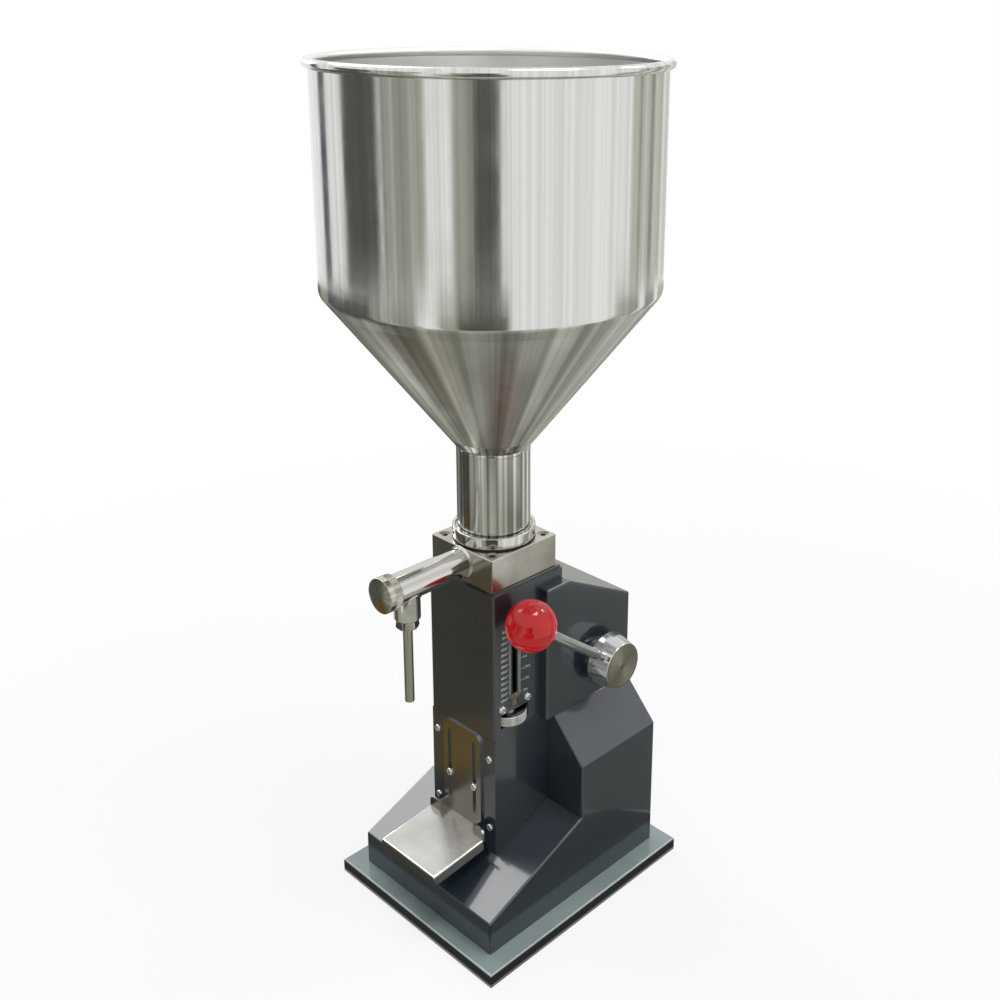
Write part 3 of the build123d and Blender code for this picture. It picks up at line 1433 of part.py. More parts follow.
# Bottle tray: one bent sheet, a slotted back plate and a drooping platform with three flanges
tray_tilt = math.radians(tray_droop)
tray_plane = Plane(
    origin=(0, tray_rear_y, tray_rear_z),
    x_dir=(1, 0, 0),
    z_dir=(0, -math.sin(tray_tilt), math.cos(tray_tilt)),
)
tray_length = (tray_rear_y - tray_front_y) / math.cos(tray_tilt)
tray_back_y = column_front_y - tray_sheet
tray_back_bottom_z = tray_rear_z - tray_sheet
tray_ear_corner = tray_ear_height / 2
ear_rise = tray_ear_height + tray_sheet
ear_width = tray_half_width - tray_back_half_width
with BuildPart() as bottle_tray:
    with BuildSketch(tray_plane):
        with Locations((0, -tray_length / 2)):
            Rectangle(2 * tray_half_width, tray_length)
        with Locations((0, (tray_back_y + tray_sheet / 2 - tray_rear_y) / 2)):
            Rectangle(2 * tray_back_half_width, tray_back_y + tray_sheet / 2 - tray_rear_y)
    extrude(amount=-tray_sheet)
    with BuildSketch(tray_plane):
        with Locations((0, -tray_length / 2)):
            Rectangle(2 * tray_half_width, tray_length)
        with Locations((0, tray_sheet - tray_length / 2)):
            Rectangle(
                2 * (tray_half_width - tray_sheet),
                tray_length,
                mode=Mode.SUBTRACT,
            )
    extrude(amount=-tray_flange)
    outer_folds = [
        edge
        for edge in bottle_tray.edges()
        for centre in [tray_plane.to_local_coords(edge.center())]
        if abs(centre.Z) < close_gap
        and (abs(centre.X) > tray_half_width - close_gap or centre.Y < close_gap - tray_length)
    ]
    fillet(outer_folds, radius=bend_r)
    with BuildSketch(Plane.XZ.offset(-column_front_y)):
        with Locations((0, (tray_back_bottom_z + tray_back_top_z) / 2)):
            Rectangle(2 * tray_back_half_width, tray_back_top_z - tray_back_bottom_z)
    extrude(amount=tray_sheet)
    top_corners = bottle_tray.edges().filter_by(Axis.Y).group_by(Axis.Z)[-1]
    fillet(top_corners, radius=tray_back_corner)
    with BuildSketch(Plane.XZ.offset(-column_front_y)):
        with Locations(*[(x, (tray_slot_low_z + tray_slot_high_z) / 2) for x in tray_slot_places]):
            SlotOverall(tray_slot_high_z - tray_slot_low_z, tray_slot_width, rotation=90)
    extrude(amount=tray_sheet, mode=Mode.SUBTRACT)
    for side in (-1, 1):
        web_x = side * (tray_back_half_width - tray_sheet / 2)
        ear_x = side * (tray_back_half_width + tray_half_width) / 2
        with BuildSketch(Plane.XY.offset(tray_back_bottom_z)):
            with Locations((web_x, (tray_rear_y + tray_back_y) / 2)):
                Rectangle(tray_sheet, tray_back_y - tray_rear_y)
        extrude(amount=ear_rise)
        with BuildSketch(Plane.XZ.offset(-tray_rear_y)):
            with Locations((ear_x, tray_back_bottom_z + (ear_rise - tray_ear_corner) / 2)):
                Rectangle(ear_width, ear_rise - tray_ear_corner)
            with Locations((ear_x - side * tray_ear_corner / 2, tray_back_bottom_z + ear_rise / 2)):
                Rectangle(ear_width - tray_ear_corner, ear_rise)
            with Locations(
                (side * (tray_half_width - tray_ear_corner), tray_back_bottom_z + ear_rise - tray_ear_corner)
            ):
                Circle(tray_ear_corner)
        extrude(amount=-tray_sheet)
bottle_tray.part.label = "bottle_tray"
export_step(bottle_tray.part, "parts/bottle_tray.step")


# Two tray screws pass through the slots into the panel
with BuildPart() as tray_screws:
    with BuildSketch(Plane.XZ.offset(-tray_back_y)):
        with Locations(*[(x, tray_screw_z) for x in tray_slot_places]):
            Circle(tray_head_r)
    extrude(amount=tray_head_height)
    tray_head_rims = tray_screws.faces().sort_by(Axis.Y)[0:2].edges()
    fillet(tray_head_rims, radius=tray_head_height / 2)
    with BuildSketch(Plane.XZ.offset(-tray_back_y)):
        with Locations(*[(x, tray_screw_z) for x in tray_slot_places]):
            Circle(tray_screw_r)
    extrude(amount=-(tray_sheet + 2 * sheet))
tray_screws.part.label = "tray_screws"
export_step(tray_screws.part, "parts/tray_screws.step")


# Hopper gasket: the flat ring between the block and the collar
with BuildPart() as hopper_gasket:
    with BuildSketch(Plane.XY.offset(block_top_z)):
        Circle(collar_r)
        Circle(spigot_r + loose_gap, mode=Mode.SUBTRACT)
    extrude(amount=gasket_thickness)
hopper_gasket.part.label = "hopper_gasket"
export_step(hopper_gasket.part, "parts/hopper_gasket.step")


# Hopper collar: the turned ring under the neck, with the spigot that screws into the block
neck_bottom_z = collar_top_z - neck_socket_depth
with BuildPart() as hopper_collar:
    with BuildSketch(Plane.XZ):
        with BuildLine():
            Polyline(
                (collar_bore_r, block_top_z - spigot_depth),
                (spigot_r, block_top_z - spigot_depth),
                (spigot_r, collar_bottom_z),
                (collar_r, collar_bottom_z),
                (collar_r, collar_top_z - collar_edge),
                (collar_r - collar_edge, collar_top_z),
                (hopper_neck_r + close_gap, collar_top_z),
                (hopper_neck_r + close_gap, neck_bottom_z),
                (hopper_neck_r - hopper_sheet, neck_bottom_z),
                (collar_bore_r, neck_bottom_z - hopper_neck_r + hopper_sheet + collar_bore_r),
                close=True,
            )
        make_face()
    revolve(axis=Axis.Z)
hopper_collar.part.label = "hopper_collar"
export_step(hopper_collar.part, "parts/hopper_collar.step")


# Hopper neck: a rolled tube in the collar's socket
with BuildPart() as hopper_neck:
    with BuildSketch(Plane.XY.offset(neck_bottom_z)):
        Circle(hopper_neck_r)
        Circle(hopper_neck_r - hopper_sheet, mode=Mode.SUBTRACT)
    extrude(amount=hopper_neck_top_z - neck_bottom_z)
hopper_neck.part.label = "hopper_neck"
export_step(hopper_neck.part, "parts/hopper_neck.step")


# Hopper cone: rolled sheet butt-welded to the neck below it and the wall above it
cone_rise = hopper_cone_top_z - hopper_neck_top_z
cone_sheet = hopper_sheet * math.hypot(cone_rise, hopper_r - hopper_neck_r) / cone_rise
with BuildPart() as hopper_cone:
    with BuildSketch(Plane.XZ):
        with BuildLine():
            Polyline(
                (hopper_neck_r, hopper_neck_top_z),
                (hopper_r, hopper_cone_top_z),
                (hopper_r - cone_sheet, hopper_cone_top_z),
                (hopper_neck_r - cone_sheet, hopper_neck_top_z),
                close=True,
            )
        make_face()
    revolve(axis=Axis.Z)
hopper_cone.part.label = "hopper_cone"
export_step(hopper_cone.part, "parts/hopper_cone.step")


# Hopper wall: the straight drum with its rim curled outwards
with BuildPart() as hopper_wall:
    wall_top_z = hopper_rim_z - hopper_rim_roll_r + hopper_sheet
    with BuildSketch(Plane.XZ):
        with Locations((hopper_r - hopper_sheet / 2, (hopper_cone_top_z + wall_top_z) / 2)):
            Rectangle(hopper_sheet, wall_top_z - hopper_cone_top_z)
        with Locations((hopper_rim_r, hopper_rim_z)):
            Circle(hopper_rim_roll_r)
            Circle(hopper_rim_roll_r - hopper_sheet, mode=Mode.SUBTRACT)
        with Locations((hopper_r + hopper_sheet / 2, hopper_rim_z - hopper_rim_roll_r)):
            Rectangle(hopper_sheet, hopper_rim_roll_r, mode=Mode.SUBTRACT)
    revolve(axis=Axis.Z)
hopper_wall.part.label = "hopper_wall"
export_step(hopper_wall.part, "parts/hopper_wall.step")
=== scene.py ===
"""Manual piston filler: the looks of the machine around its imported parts.

All lengths are metres in the machine's own frame: the origin lies on the hopper's axis where the base
plate stands, +X is the lever's side, -Y the nozzle's side and +Z is up.
"""

import functools
import json
import math

import bmesh
import bpy
import numpy as np
from bpy.props import FloatProperty, IntProperty, PointerProperty
from mathutils import Matrix, Vector


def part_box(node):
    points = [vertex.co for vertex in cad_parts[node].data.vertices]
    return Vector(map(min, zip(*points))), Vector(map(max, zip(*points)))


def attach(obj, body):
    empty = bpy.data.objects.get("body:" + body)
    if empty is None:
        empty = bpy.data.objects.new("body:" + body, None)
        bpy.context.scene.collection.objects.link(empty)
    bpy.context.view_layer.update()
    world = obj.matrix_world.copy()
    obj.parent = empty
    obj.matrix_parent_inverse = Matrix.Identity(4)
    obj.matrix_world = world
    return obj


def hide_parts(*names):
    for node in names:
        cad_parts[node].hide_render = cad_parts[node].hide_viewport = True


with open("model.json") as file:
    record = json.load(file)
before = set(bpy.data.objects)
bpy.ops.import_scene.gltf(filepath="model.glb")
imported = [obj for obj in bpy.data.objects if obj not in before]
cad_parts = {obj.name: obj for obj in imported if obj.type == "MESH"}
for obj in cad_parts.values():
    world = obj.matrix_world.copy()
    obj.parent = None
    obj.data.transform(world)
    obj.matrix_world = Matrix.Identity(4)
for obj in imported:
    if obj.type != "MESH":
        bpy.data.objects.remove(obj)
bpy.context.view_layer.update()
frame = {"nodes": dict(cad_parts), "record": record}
nodes = frame["nodes"]
node_slot = {part["node"]: part["material_slot"] for part in frame["record"]["subparts"]}
node_body = {
    node: body for body, held in frame["record"]["behaviour"]["bodies"].items() for node in held
}

bl_info = {
    "name": "Manual piston filler",
    "version": (1, 0, 0),
    "blender": (4, 5, 0),
    "location": "3D View > Sidebar > Filler",
    "description": "Builds the visible pieces, materials and stage of the piston filler",
    "category": "Object",
}

MM = 0.001
TURN = 2 * math.pi
ORIGIN = (0, 0, 0)
X_AXIS = Vector((1, 0, 0))
Y_AXIS = Vector((0, 1, 0))
Z_AXIS = Vector((0, 0, 1))
FRONT_AXIS = Vector((0, -1, 0))
# Steps round a turned piece, from the hopper down to the nozzle, and round holes, screw heads and threads
WIDE_STEPS = 256
BROAD_STEPS = 192
TUBE_STEPS = 160
SLIM_STEPS = 128
FINE_STEPS = 96
HOLE_STEPS = 64
HEAD_STEPS = 72
THREAD_STEPS = 40


def length(name, description, millimetres):
    """A length property whose default is given in millimetres."""
    return FloatProperty(
        name=name, description=description, default=millimetres * MM, unit="LENGTH", precision=5
    )


def angle(name, description, degrees):
    """An angle property whose default is given in degrees."""
    return FloatProperty(
        name=name, description=description, default=math.radians(degrees), subtype="ANGLE"
    )


def power(name, description, watts):
    """A lamp's power in watts."""
    return FloatProperty(name=name, description=description, default=watts, unit="POWER")


class FillerHopper(bpy.types.PropertyGroup):
    """Sizes of the hopper's sheet pieces and its collar."""

    sheet: length("Sheet", "Thickness of the hopper's sheet", 1.2)
    wall_r: length("Wall radius", "Outer radius of the straight wall", 137.0)
    neck_r: length("Neck radius", "Outer radius of the neck", 31.0)
    roll_r: length("Rim roll", "Outer radius of the curled rim", 4.0)
    roll_offset: length("Rim offset", "Distance of the curl's centre outside the wall's radius", 0.7)
    rim_z: length("Rim level", "Height of the curl's centre", 734.7)
    cone_top_z: length("Cone top", "Height of the fold between cone and wall", 559.3)
    cone_low_z: length("Cone foot", "Height of the weld between neck and cone", 424.4)
    neck_low_z: length("Neck foot", "Height of the neck's lower end in the collar", 349.9)
    fold: length("Fold", "Reach of the rounding at the folds", 3.0)
    bead: length("Weld bead", "Height of the dressed weld beads", 0.25)
    collar_r: length("Collar radius", "Outer radius of the collar", 35.4)
    collar_low_z: length("Collar foot", "Height of the collar's seat on its gasket", 342.9)
    collar_top_z: length("Collar top", "Height of the collar's upper face", 352.9)
    spigot_r: length("Spigot radius", "Radius of the spigot under the collar", 26.0)
    spigot_low_z: length("Spigot foot", "Height of the spigot's lower face", 336.7)
    bore_r: length("Collar bore", "Radius of the collar's bore", 21.5)


class FillerDischarge(bpy.types.PropertyGroup):
    """Sizes of the discharge tube, its cap and the nozzle."""

    axis_z: length("Tube level", "Height of the tube's axis", 328.5)
    tube_r: length("Tube radius", "Outer radius of the tube", 12.5)
    bore_r: length("Tube bore", "Radius of the tube's bore", 10.5)
    root_y: length("Tube root", "Where the tube leaves the block", -37.4)
    end_y: length("Tube end", "Where the tube ends inside the cap", -118.9)
    weld: length("Weld leg", "Leg of the weld round the tube's root", 1.8)
    cap_r: length("Cap radius", "Outer radius of the cap", 14.8)
    cap_outer_y: length("Cap face", "Front of the cap's domed face", -124.0)
    cap_length: length("Cap length", "Length of the cap", 14.0)
    cap_dome: length("Cap dome", "Rise of the cap's face", 1.5)
    cap_knurl: length("Cap knurl", "Depth of the cap's knurling", 0.35)
    nozzle_y: length("Nozzle place", "Where the nozzle stands along Y", -96.0)
    boss_r: length("Boss radius", "Outer radius of the boss under the tube", 11.0)
    boss_low_z: length("Boss foot", "Height of the boss's lower face", 299.5)
    chamber_r: length("Valve chamber", "Radius of the valve's chamber", 6.5)
    seat_r: length("Valve seat", "Radius of the port above the valve's ball", 4.0)
    nut_flats: length("Nut flats", "Width across the hexagon's flats", 17.0)
    nut_height: length("Nut height", "Height of the hexagon", 7.8)
    gland: length("Gland", "Height of the nut's spigot in the chamber", 2.0)
    nozzle_r: length("Nozzle radius", "Outer radius of the nozzle tube", 4.0)
    nozzle_bore_r: length("Nozzle bore", "Radius of the nozzle's bore", 2.8)
    nozzle_tip_z: length("Nozzle tip", "Height of the nozzle's lower end", 223.5)
    knurls: IntProperty(name="Cap knurls", description="Number of ridges round the cap", default=72)


class FillerLever(bpy.types.PropertyGroup):
    """Sizes of the lever's hub, rod and knob."""

    shaft_y: length("Shaft place", "Where the lever's shaft lies along Y", 83.0)
    shaft_z: length("Shaft level", "Height of the lever's shaft", 211.0)
    shaft_r: length("Shaft radius", "Radius of the lever's shaft", 8.0)
    hub_inner_x: length("Hub inner end", "Inner face of the hub", 57.0)
    hub_outer_x: length("Hub outer end", "Outer face of the hub", 77.0)
    hub_inner_r: length("Hub inner radius", "Radius of the hub's inner end", 25.3)
    hub_outer_r: length("Hub outer radius", "Radius of the hub's outer end", 20.9)
    hub_wall: length("Hub end wall", "Metal beyond the shaft's end", 5.0)
    rod_x: length("Rod place", "Where the rod stands along X", 67.0)
    rod_r: length("Rod radius", "Radius of the lever's rod", 4.8)
    rod_start: length("Rod start", "Distance of the rod's foot from the shaft's axis", 11.3)
    reach: length("Lever reach", "Distance of the knob's centre from the shaft's axis", 130.7)
    knob_r: length("Knob radius", "Radius of the ball", 21.75)
    knob_flat: length("Knob flat", "Depth of the flat round the rod", 1.2)
    knob_depth: length("Knob bore", "Depth of the knob's bore", 17.0)
    set_screw_r: length("Set screw", "Radius of the set screw's hole", 3.02)
    flange_r: length("Flange radius", "Radius of the bearing's flange", 17.0)
    flange_low_r: length("Flange boss", "Radius of the flange's outer end", 11.0)
    flange_inner_x: length("Flange inner end", "Inner end of the bearing flange", 36.0)
    cheek_x: length("Cheek face", "Outer face of the bearing bracket's cheek", 42.0)
    cover_x: length("Cover face", "Outer face of the mechanism cover", 48.75)
    flange_thickness: length("Flange thickness", "Thickness of the flange's rim", 3.0)
    neck_r: length("Flange neck", "Radius of the flange's neck in the cover", 13.0)
    slope: angle("Lever slope", "Rise of the lever above level at rest", 36.7)


class FillerDose(bpy.types.PropertyGroup):
    """Sizes of the dose screw, its wheel, the pointer and the printed scale."""

    slot_y: length("Slot place", "Where the slot lies along Y", -15.0)
    screw_x: length("Screw place", "Where the dose screw stands along X", 31.0)
    screw_r: length("Screw radius", "Outer radius of the dose screw's thread", 4.0)
    thread_pitch: length("Thread pitch", "Rise of the dose screw's thread in a turn", 2.0)
    thread_depth: length("Thread depth", "Depth of the dose screw's thread", 0.55)
    wheel_r: length("Wheel radius", "Outer radius of the dose wheel", 17.0)
    wheel_low_z: length("Wheel foot", "Height of the wheel's lower face", 184.5)
    wheel_top_z: length("Wheel top", "Height of the wheel's upper face", 193.5)
    wheel_hub_r: length("Wheel hub", "Radius of the wheel's hub", 7.0)
    wheel_hub_low_z: length("Hub foot", "Height of the hub's lower face", 183.55)
    wheel_hub_top_z: length("Hub top", "Height of the hub's upper face", 196.05)
    knurl_depth: length("Knurl depth", "Depth of the wheel's diamond knurling", 0.5)
    face_x: length("Printed face", "Outer face of the column's right wall", 40.5)
    print_lift: length("Print lift", "Height of the print over the wall", 0.03)
    zero_z: length("Zero mark", "Height of the zero mark", 274.8)
    per_ml: length("Mark spacing", "Distance between two millilitre marks", 1.075)
    mark: length("Mark width", "Width of a mark's line", 0.3)
    letter: length("Letter height", "Height of the figures", 2.6)
    label_width: length("Label width", "Width of the label that reads 60ml", 6.8)
    knurls: IntProperty(name="Wheel knurls", description="Number of ridges round the wheel", default=84)


class FillerScrews(bpy.types.PropertyGroup):
    """Places of the cross-recess screws."""

    panel_x: length("Panel screws apart", "Half the distance across the panel's screws", 33.5)
    panel_y: length("Panel face", "Front face of the panel", -38.5)
    panel_low_z: length("Lower panel screws", "Height of the panel's lower screws", 85.8)
    panel_top_z: length("Upper panel screws", "Height of the panel's upper screws", 154.1)
    dose_low_y: length("Front dose screw", "Place of the front dose screw along Y", -30.0)
    dose_top_y: length("Rear dose screw", "Place of the rear dose screw along Y", 0.0)
    dose_z: length("Dose screws", "Height of the two dose screws", 202.0)
    tray_x: length("Tray screws apart", "Half the distance across the tray's screws", 15.8)
    tray_y: length("Tray face", "Front face of the tray's upright sheet", -40.5)
    tray_z: length("Tray screws", "Height of the tray's screws", 119.0)


class FillerLooks(bpy.types.PropertyGroup):
    """Settings of the stage: the camera's place and the lamps' levels."""

    azimuth: angle("Azimuth", "Camera's place round the machine from the front", 43.77)
    elevation: angle("Elevation", "Slope of the camera's view", 16.53)
    roll: angle("Roll", "Turn of the camera about its view", 0.52)
    lens: FloatProperty(
        name="Lens", description="Focal length for a 36 mm wide frame", default=44.02, unit="CAMERA"
    )
    camera_x: length("Camera X", "Camera's place along X", 700.65)
    camera_y: length("Camera Y", "Camera's place along Y", -649.23)
    camera_z: length("Camera Z", "Camera's height", 791.75)
    shift_x: FloatProperty(name="Shift X", description="Frame shift to the side", default=-0.0624)
    shift_y: FloatProperty(name="Shift Y", description="Frame shift upwards", default=-0.1537)
    key_power: power("Key power", "Power of the panel over the left side", 13.0)
    front_power: power("Front power", "Power of the soft front lamp", 3.0)
    side_power: power("Side power", "Power of the soft lamp on the right", 3.0)
    top_power: power("Top power", "Power of the soft lamp overhead", 18.0)
    ambient: FloatProperty(name="Ambient", description="Level of the world's diffuse light", default=0.25)
    cards_azimuth: angle("Cards' azimuth", "Turn of the ring of studio cards", 43.77)


def linear(hex_colour):
    """Scene-linear colour of an sRGB hex string such as 8a8f94."""
    values = [int(hex_colour[i : i + 2], 16) / 255 for i in (0, 2, 4)]
    return [v / 12.92 if v <= 0.04045 else ((v + 0.055) / 1.055) ** 2.4 for v in values] + [1.0]


def set_inputs(node, inputs):
    """Fills a shader node's inputs: a string is a hex colour, a node stands for its first output in use."""
    for key, value in inputs.items():
        if isinstance(value, bpy.types.Node):
            value = next(output for output in value.outputs if output.enabled)
        if isinstance(value, bpy.types.NodeSocket):
            node.id_data.links.new(value, node.inputs[key])
        else:
            node.inputs[key].default_value = linear(value) if isinstance(value, str) else value


def add_node(tree, kind, inputs=None, **settings):
    """Adds a shader node, sets its settings and fills its inputs."""
    made = tree.nodes.new("ShaderNode" + kind)
    for key, value in settings.items():
        setattr(made, key, value)
    set_inputs(made, inputs or {})
    return made


def new_material(name, kind="BsdfPrincipled"):
    """Node material of one shader; returns it, its shader and add_node for its tree."""
    made = bpy.data.materials.new(name)
    made.use_nodes = True
    made.node_tree.nodes.clear()
    add = functools.partial(add_node, made.node_tree)
    shader = add(kind)
    add("OutputMaterial", {"Surface": shader})
    return made, shader, add


def mottle(add, pattern, low, high, start=0.3, stop=0.7):
    """Colour that goes from low to high while the pattern goes from start to stop."""
    share = add("MapRange", {"Value": pattern, "From Min": start, "From Max": stop})
    return add("Mix", {"Factor": share, 6: low, 7: high}, data_type="RGBA")


def faces_towards(add, way, least, most):
    """1 on faces whose normal n has n.way between least and most, 0 on the others."""
    normal = add("NewGeometry").outputs["True Normal"]
    facing = add("VectorMath", {0: normal, 1: way}, operation="DOT_PRODUCT")
    return add("Math", {0: facing, 1: (least + most) / 2, 2: (most - least) / 2}, operation="COMPARE")


def tint_faces(add, colour, tints):
    """Gives faces their own colours, each tint being (colour or None, way, least, most)."""
    for tint, way, least, most in tints:
        if tint:
            found = faces_towards(add, way, least, most)
            colour = add("Mix", {"Factor": found, 6: colour, 7: tint}, data_type="RGBA")
    return colour


def paint(name, low, high, roughness, coat, wear_and_sheen, side=None):
    """Baked enamel under a clear gloss: faint clouding, fine orange peel, and 45 degree faces painted paler,
    partly rubbed wear and partly a painted highlight.

    Upright faces may be painted darker, a painted shade.
    """
    made, shader, add = new_material(name)
    place = add("TexCoord").outputs["Object"]
    cloud = add("TexNoise", {"Vector": place, "Scale": 1 / (60 * MM), "Detail": 4.0})
    peel = add("TexNoise", {"Vector": place, "Scale": 1 / (1.6 * MM), "Detail": 2.0})
    # Tints: upright faces painted darker, a painted shade; 45 degree faces painted paler, partly rubbed wear
    # and partly a painted highlight
    tints = [(side, Z_AXIS, -0.3, 0.3), (wear_and_sheen, Z_AXIS, 0.587, 0.827)]
    gloss = add("MapRange", {"Value": cloud, "To Min": roughness - 0.04, "To Max": roughness + 0.05})
    colour = tint_faces(add, mottle(add, cloud, low, high), tints)
    bump = add("Bump", {"Height": peel, "Strength": 0.25, "Distance": 0.04 * MM})
    set_inputs(shader, {"Base Color": colour, "Roughness": gloss, "Normal": bump, "IOR": 1.5})
    set_inputs(shader, {"Coat Weight": coat, "Coat Roughness": 0.1, "Coat IOR": 1.66})
    return made


def turned_steel(name, light, dark, roughness, centre, axis, ring, streaks, inside=None, face=None):
    """Polished steel turned about an axis: fine rings along it, and broad soft streaks round it that are
    painted reflections.

    With the point's place p from centre, height h = p.axis and radius r = |p - h axis|, the rings run
    on h and r, ring mm apart, and the streaks on the direction round the axis. Faces that look towards
    the axis take the inside's (colour, roughness), and faces that look along it the face's.
    """
    made, shader, add = new_material(name)
    place = add("TexCoord").outputs["Object"]
    local = add("VectorMath", {0: place, 1: centre}, operation="SUBTRACT")
    height = add("VectorMath", {0: local, 1: axis}, operation="DOT_PRODUCT")
    along = add("VectorMath", {0: axis, "Scale": height}, operation="SCALE")
    across = add("VectorMath", {0: local, 1: along}, operation="SUBTRACT")
    radius = add("VectorMath", {0: across}, operation="LENGTH")
    direction = add("VectorMath", {0: across}, operation="NORMALIZE")
    lines = add("CombineXYZ", {"X": height, "Y": radius})
    rings = add("TexNoise", {"Vector": lines, "Scale": 1 / (ring * MM), "Detail": 3.0})
    # Painted reflections: light and dark streaks by the direction round the axis stand in for reflected
    # studio bands
    broad = add("TexNoise", {"Vector": direction, "Scale": streaks, "Detail": 5.0})
    smudge = add("TexNoise", {"Vector": place, "Scale": 1 / (25 * MM), "Detail": 4.0})
    colour = mottle(add, broad, dark, light, 0.32, 0.68)
    spread = {"From Min": 0.3, "From Max": 0.7, "To Min": roughness * 0.8, "To Max": roughness * 1.3}
    gloss = add("MapRange", {"Value": smudge, **spread})
    # Inside faces get their own satin finish; faces that look outwards along the axis get the face colour,
    # which on the hub is a painted reflection
    for own, way, least, most in ((inside, direction, -1.1, -0.1), (face, axis, 0.9, 1.1)):
        if own:
            found = faces_towards(add, way, least, most)
            colour = add("Mix", {"Factor": found, 6: colour, 7: own[0]}, data_type="RGBA")
            gloss = add("Mix", {"Factor": found, 2: gloss, 3: own[1]})
    bump = add("Bump", {"Height": rings, "Strength": 0.12, "Distance": 0.01 * MM})
    set_inputs(shader, {"Base Color": colour, "Roughness": gloss, "Normal": bump, "Metallic": 1.0})
    return made


def flat_steel(name, light, dark, roughness, grain, grain_scale, front=None, painted_bend_highlight=None):
    """Flat metal ground or brushed along one direction: the grain is noise stretched along it.

    Faces that look to the front may be painted darker, a painted shade, and bends and broken edges, at 45
    degrees, painted brighter, a painted highlight.
    """
    made, shader, add = new_material(name)
    place = add("TexCoord").outputs["Object"]
    stretched = add("VectorMath", {0: place, 1: grain}, operation="MULTIPLY")
    lines = add("TexNoise", {"Vector": stretched, "Scale": 1 / (grain_scale * MM), "Detail": 3.0})
    cloud = add("TexNoise", {"Vector": place, "Scale": 1 / (30 * MM), "Detail": 3.0})
    # Painted shade on front faces and a painted highlight on 45 degree bends
    tints = [(front, FRONT_AXIS, 0.9, 1.1), (painted_bend_highlight, Z_AXIS, 0.507, 0.907)]
    colour = tint_faces(add, mottle(add, cloud, dark, light), tints)
    gloss = add("MapRange", {"Value": lines, "To Min": roughness - 0.06, "To Max": roughness + 0.08})
    bump = add("Bump", {"Height": lines, "Strength": 0.2, "Distance": 0.01 * MM})
    set_inputs(shader, {"Base Color": colour, "Roughness": gloss, "Normal": bump, "Metallic": 1.0})
    return made


def moulded(name, low, high, roughness):
    """Moulded plastic, rubber or ink: an even colour with faint clouding."""
    made, shader, add = new_material(name)
    place = add("TexCoord").outputs["Object"]
    cloud = add("TexNoise", {"Vector": place, "Scale": 1 / (12 * MM), "Detail": 3.0})
    gloss = add("MapRange", {"Value": cloud, "To Min": roughness * 0.85, "To Max": roughness * 1.2})
    set_inputs(shader, {"Base Color": mottle(add, cloud, low, high), "Roughness": gloss, "IOR": 1.5})
    return made


looks = {}


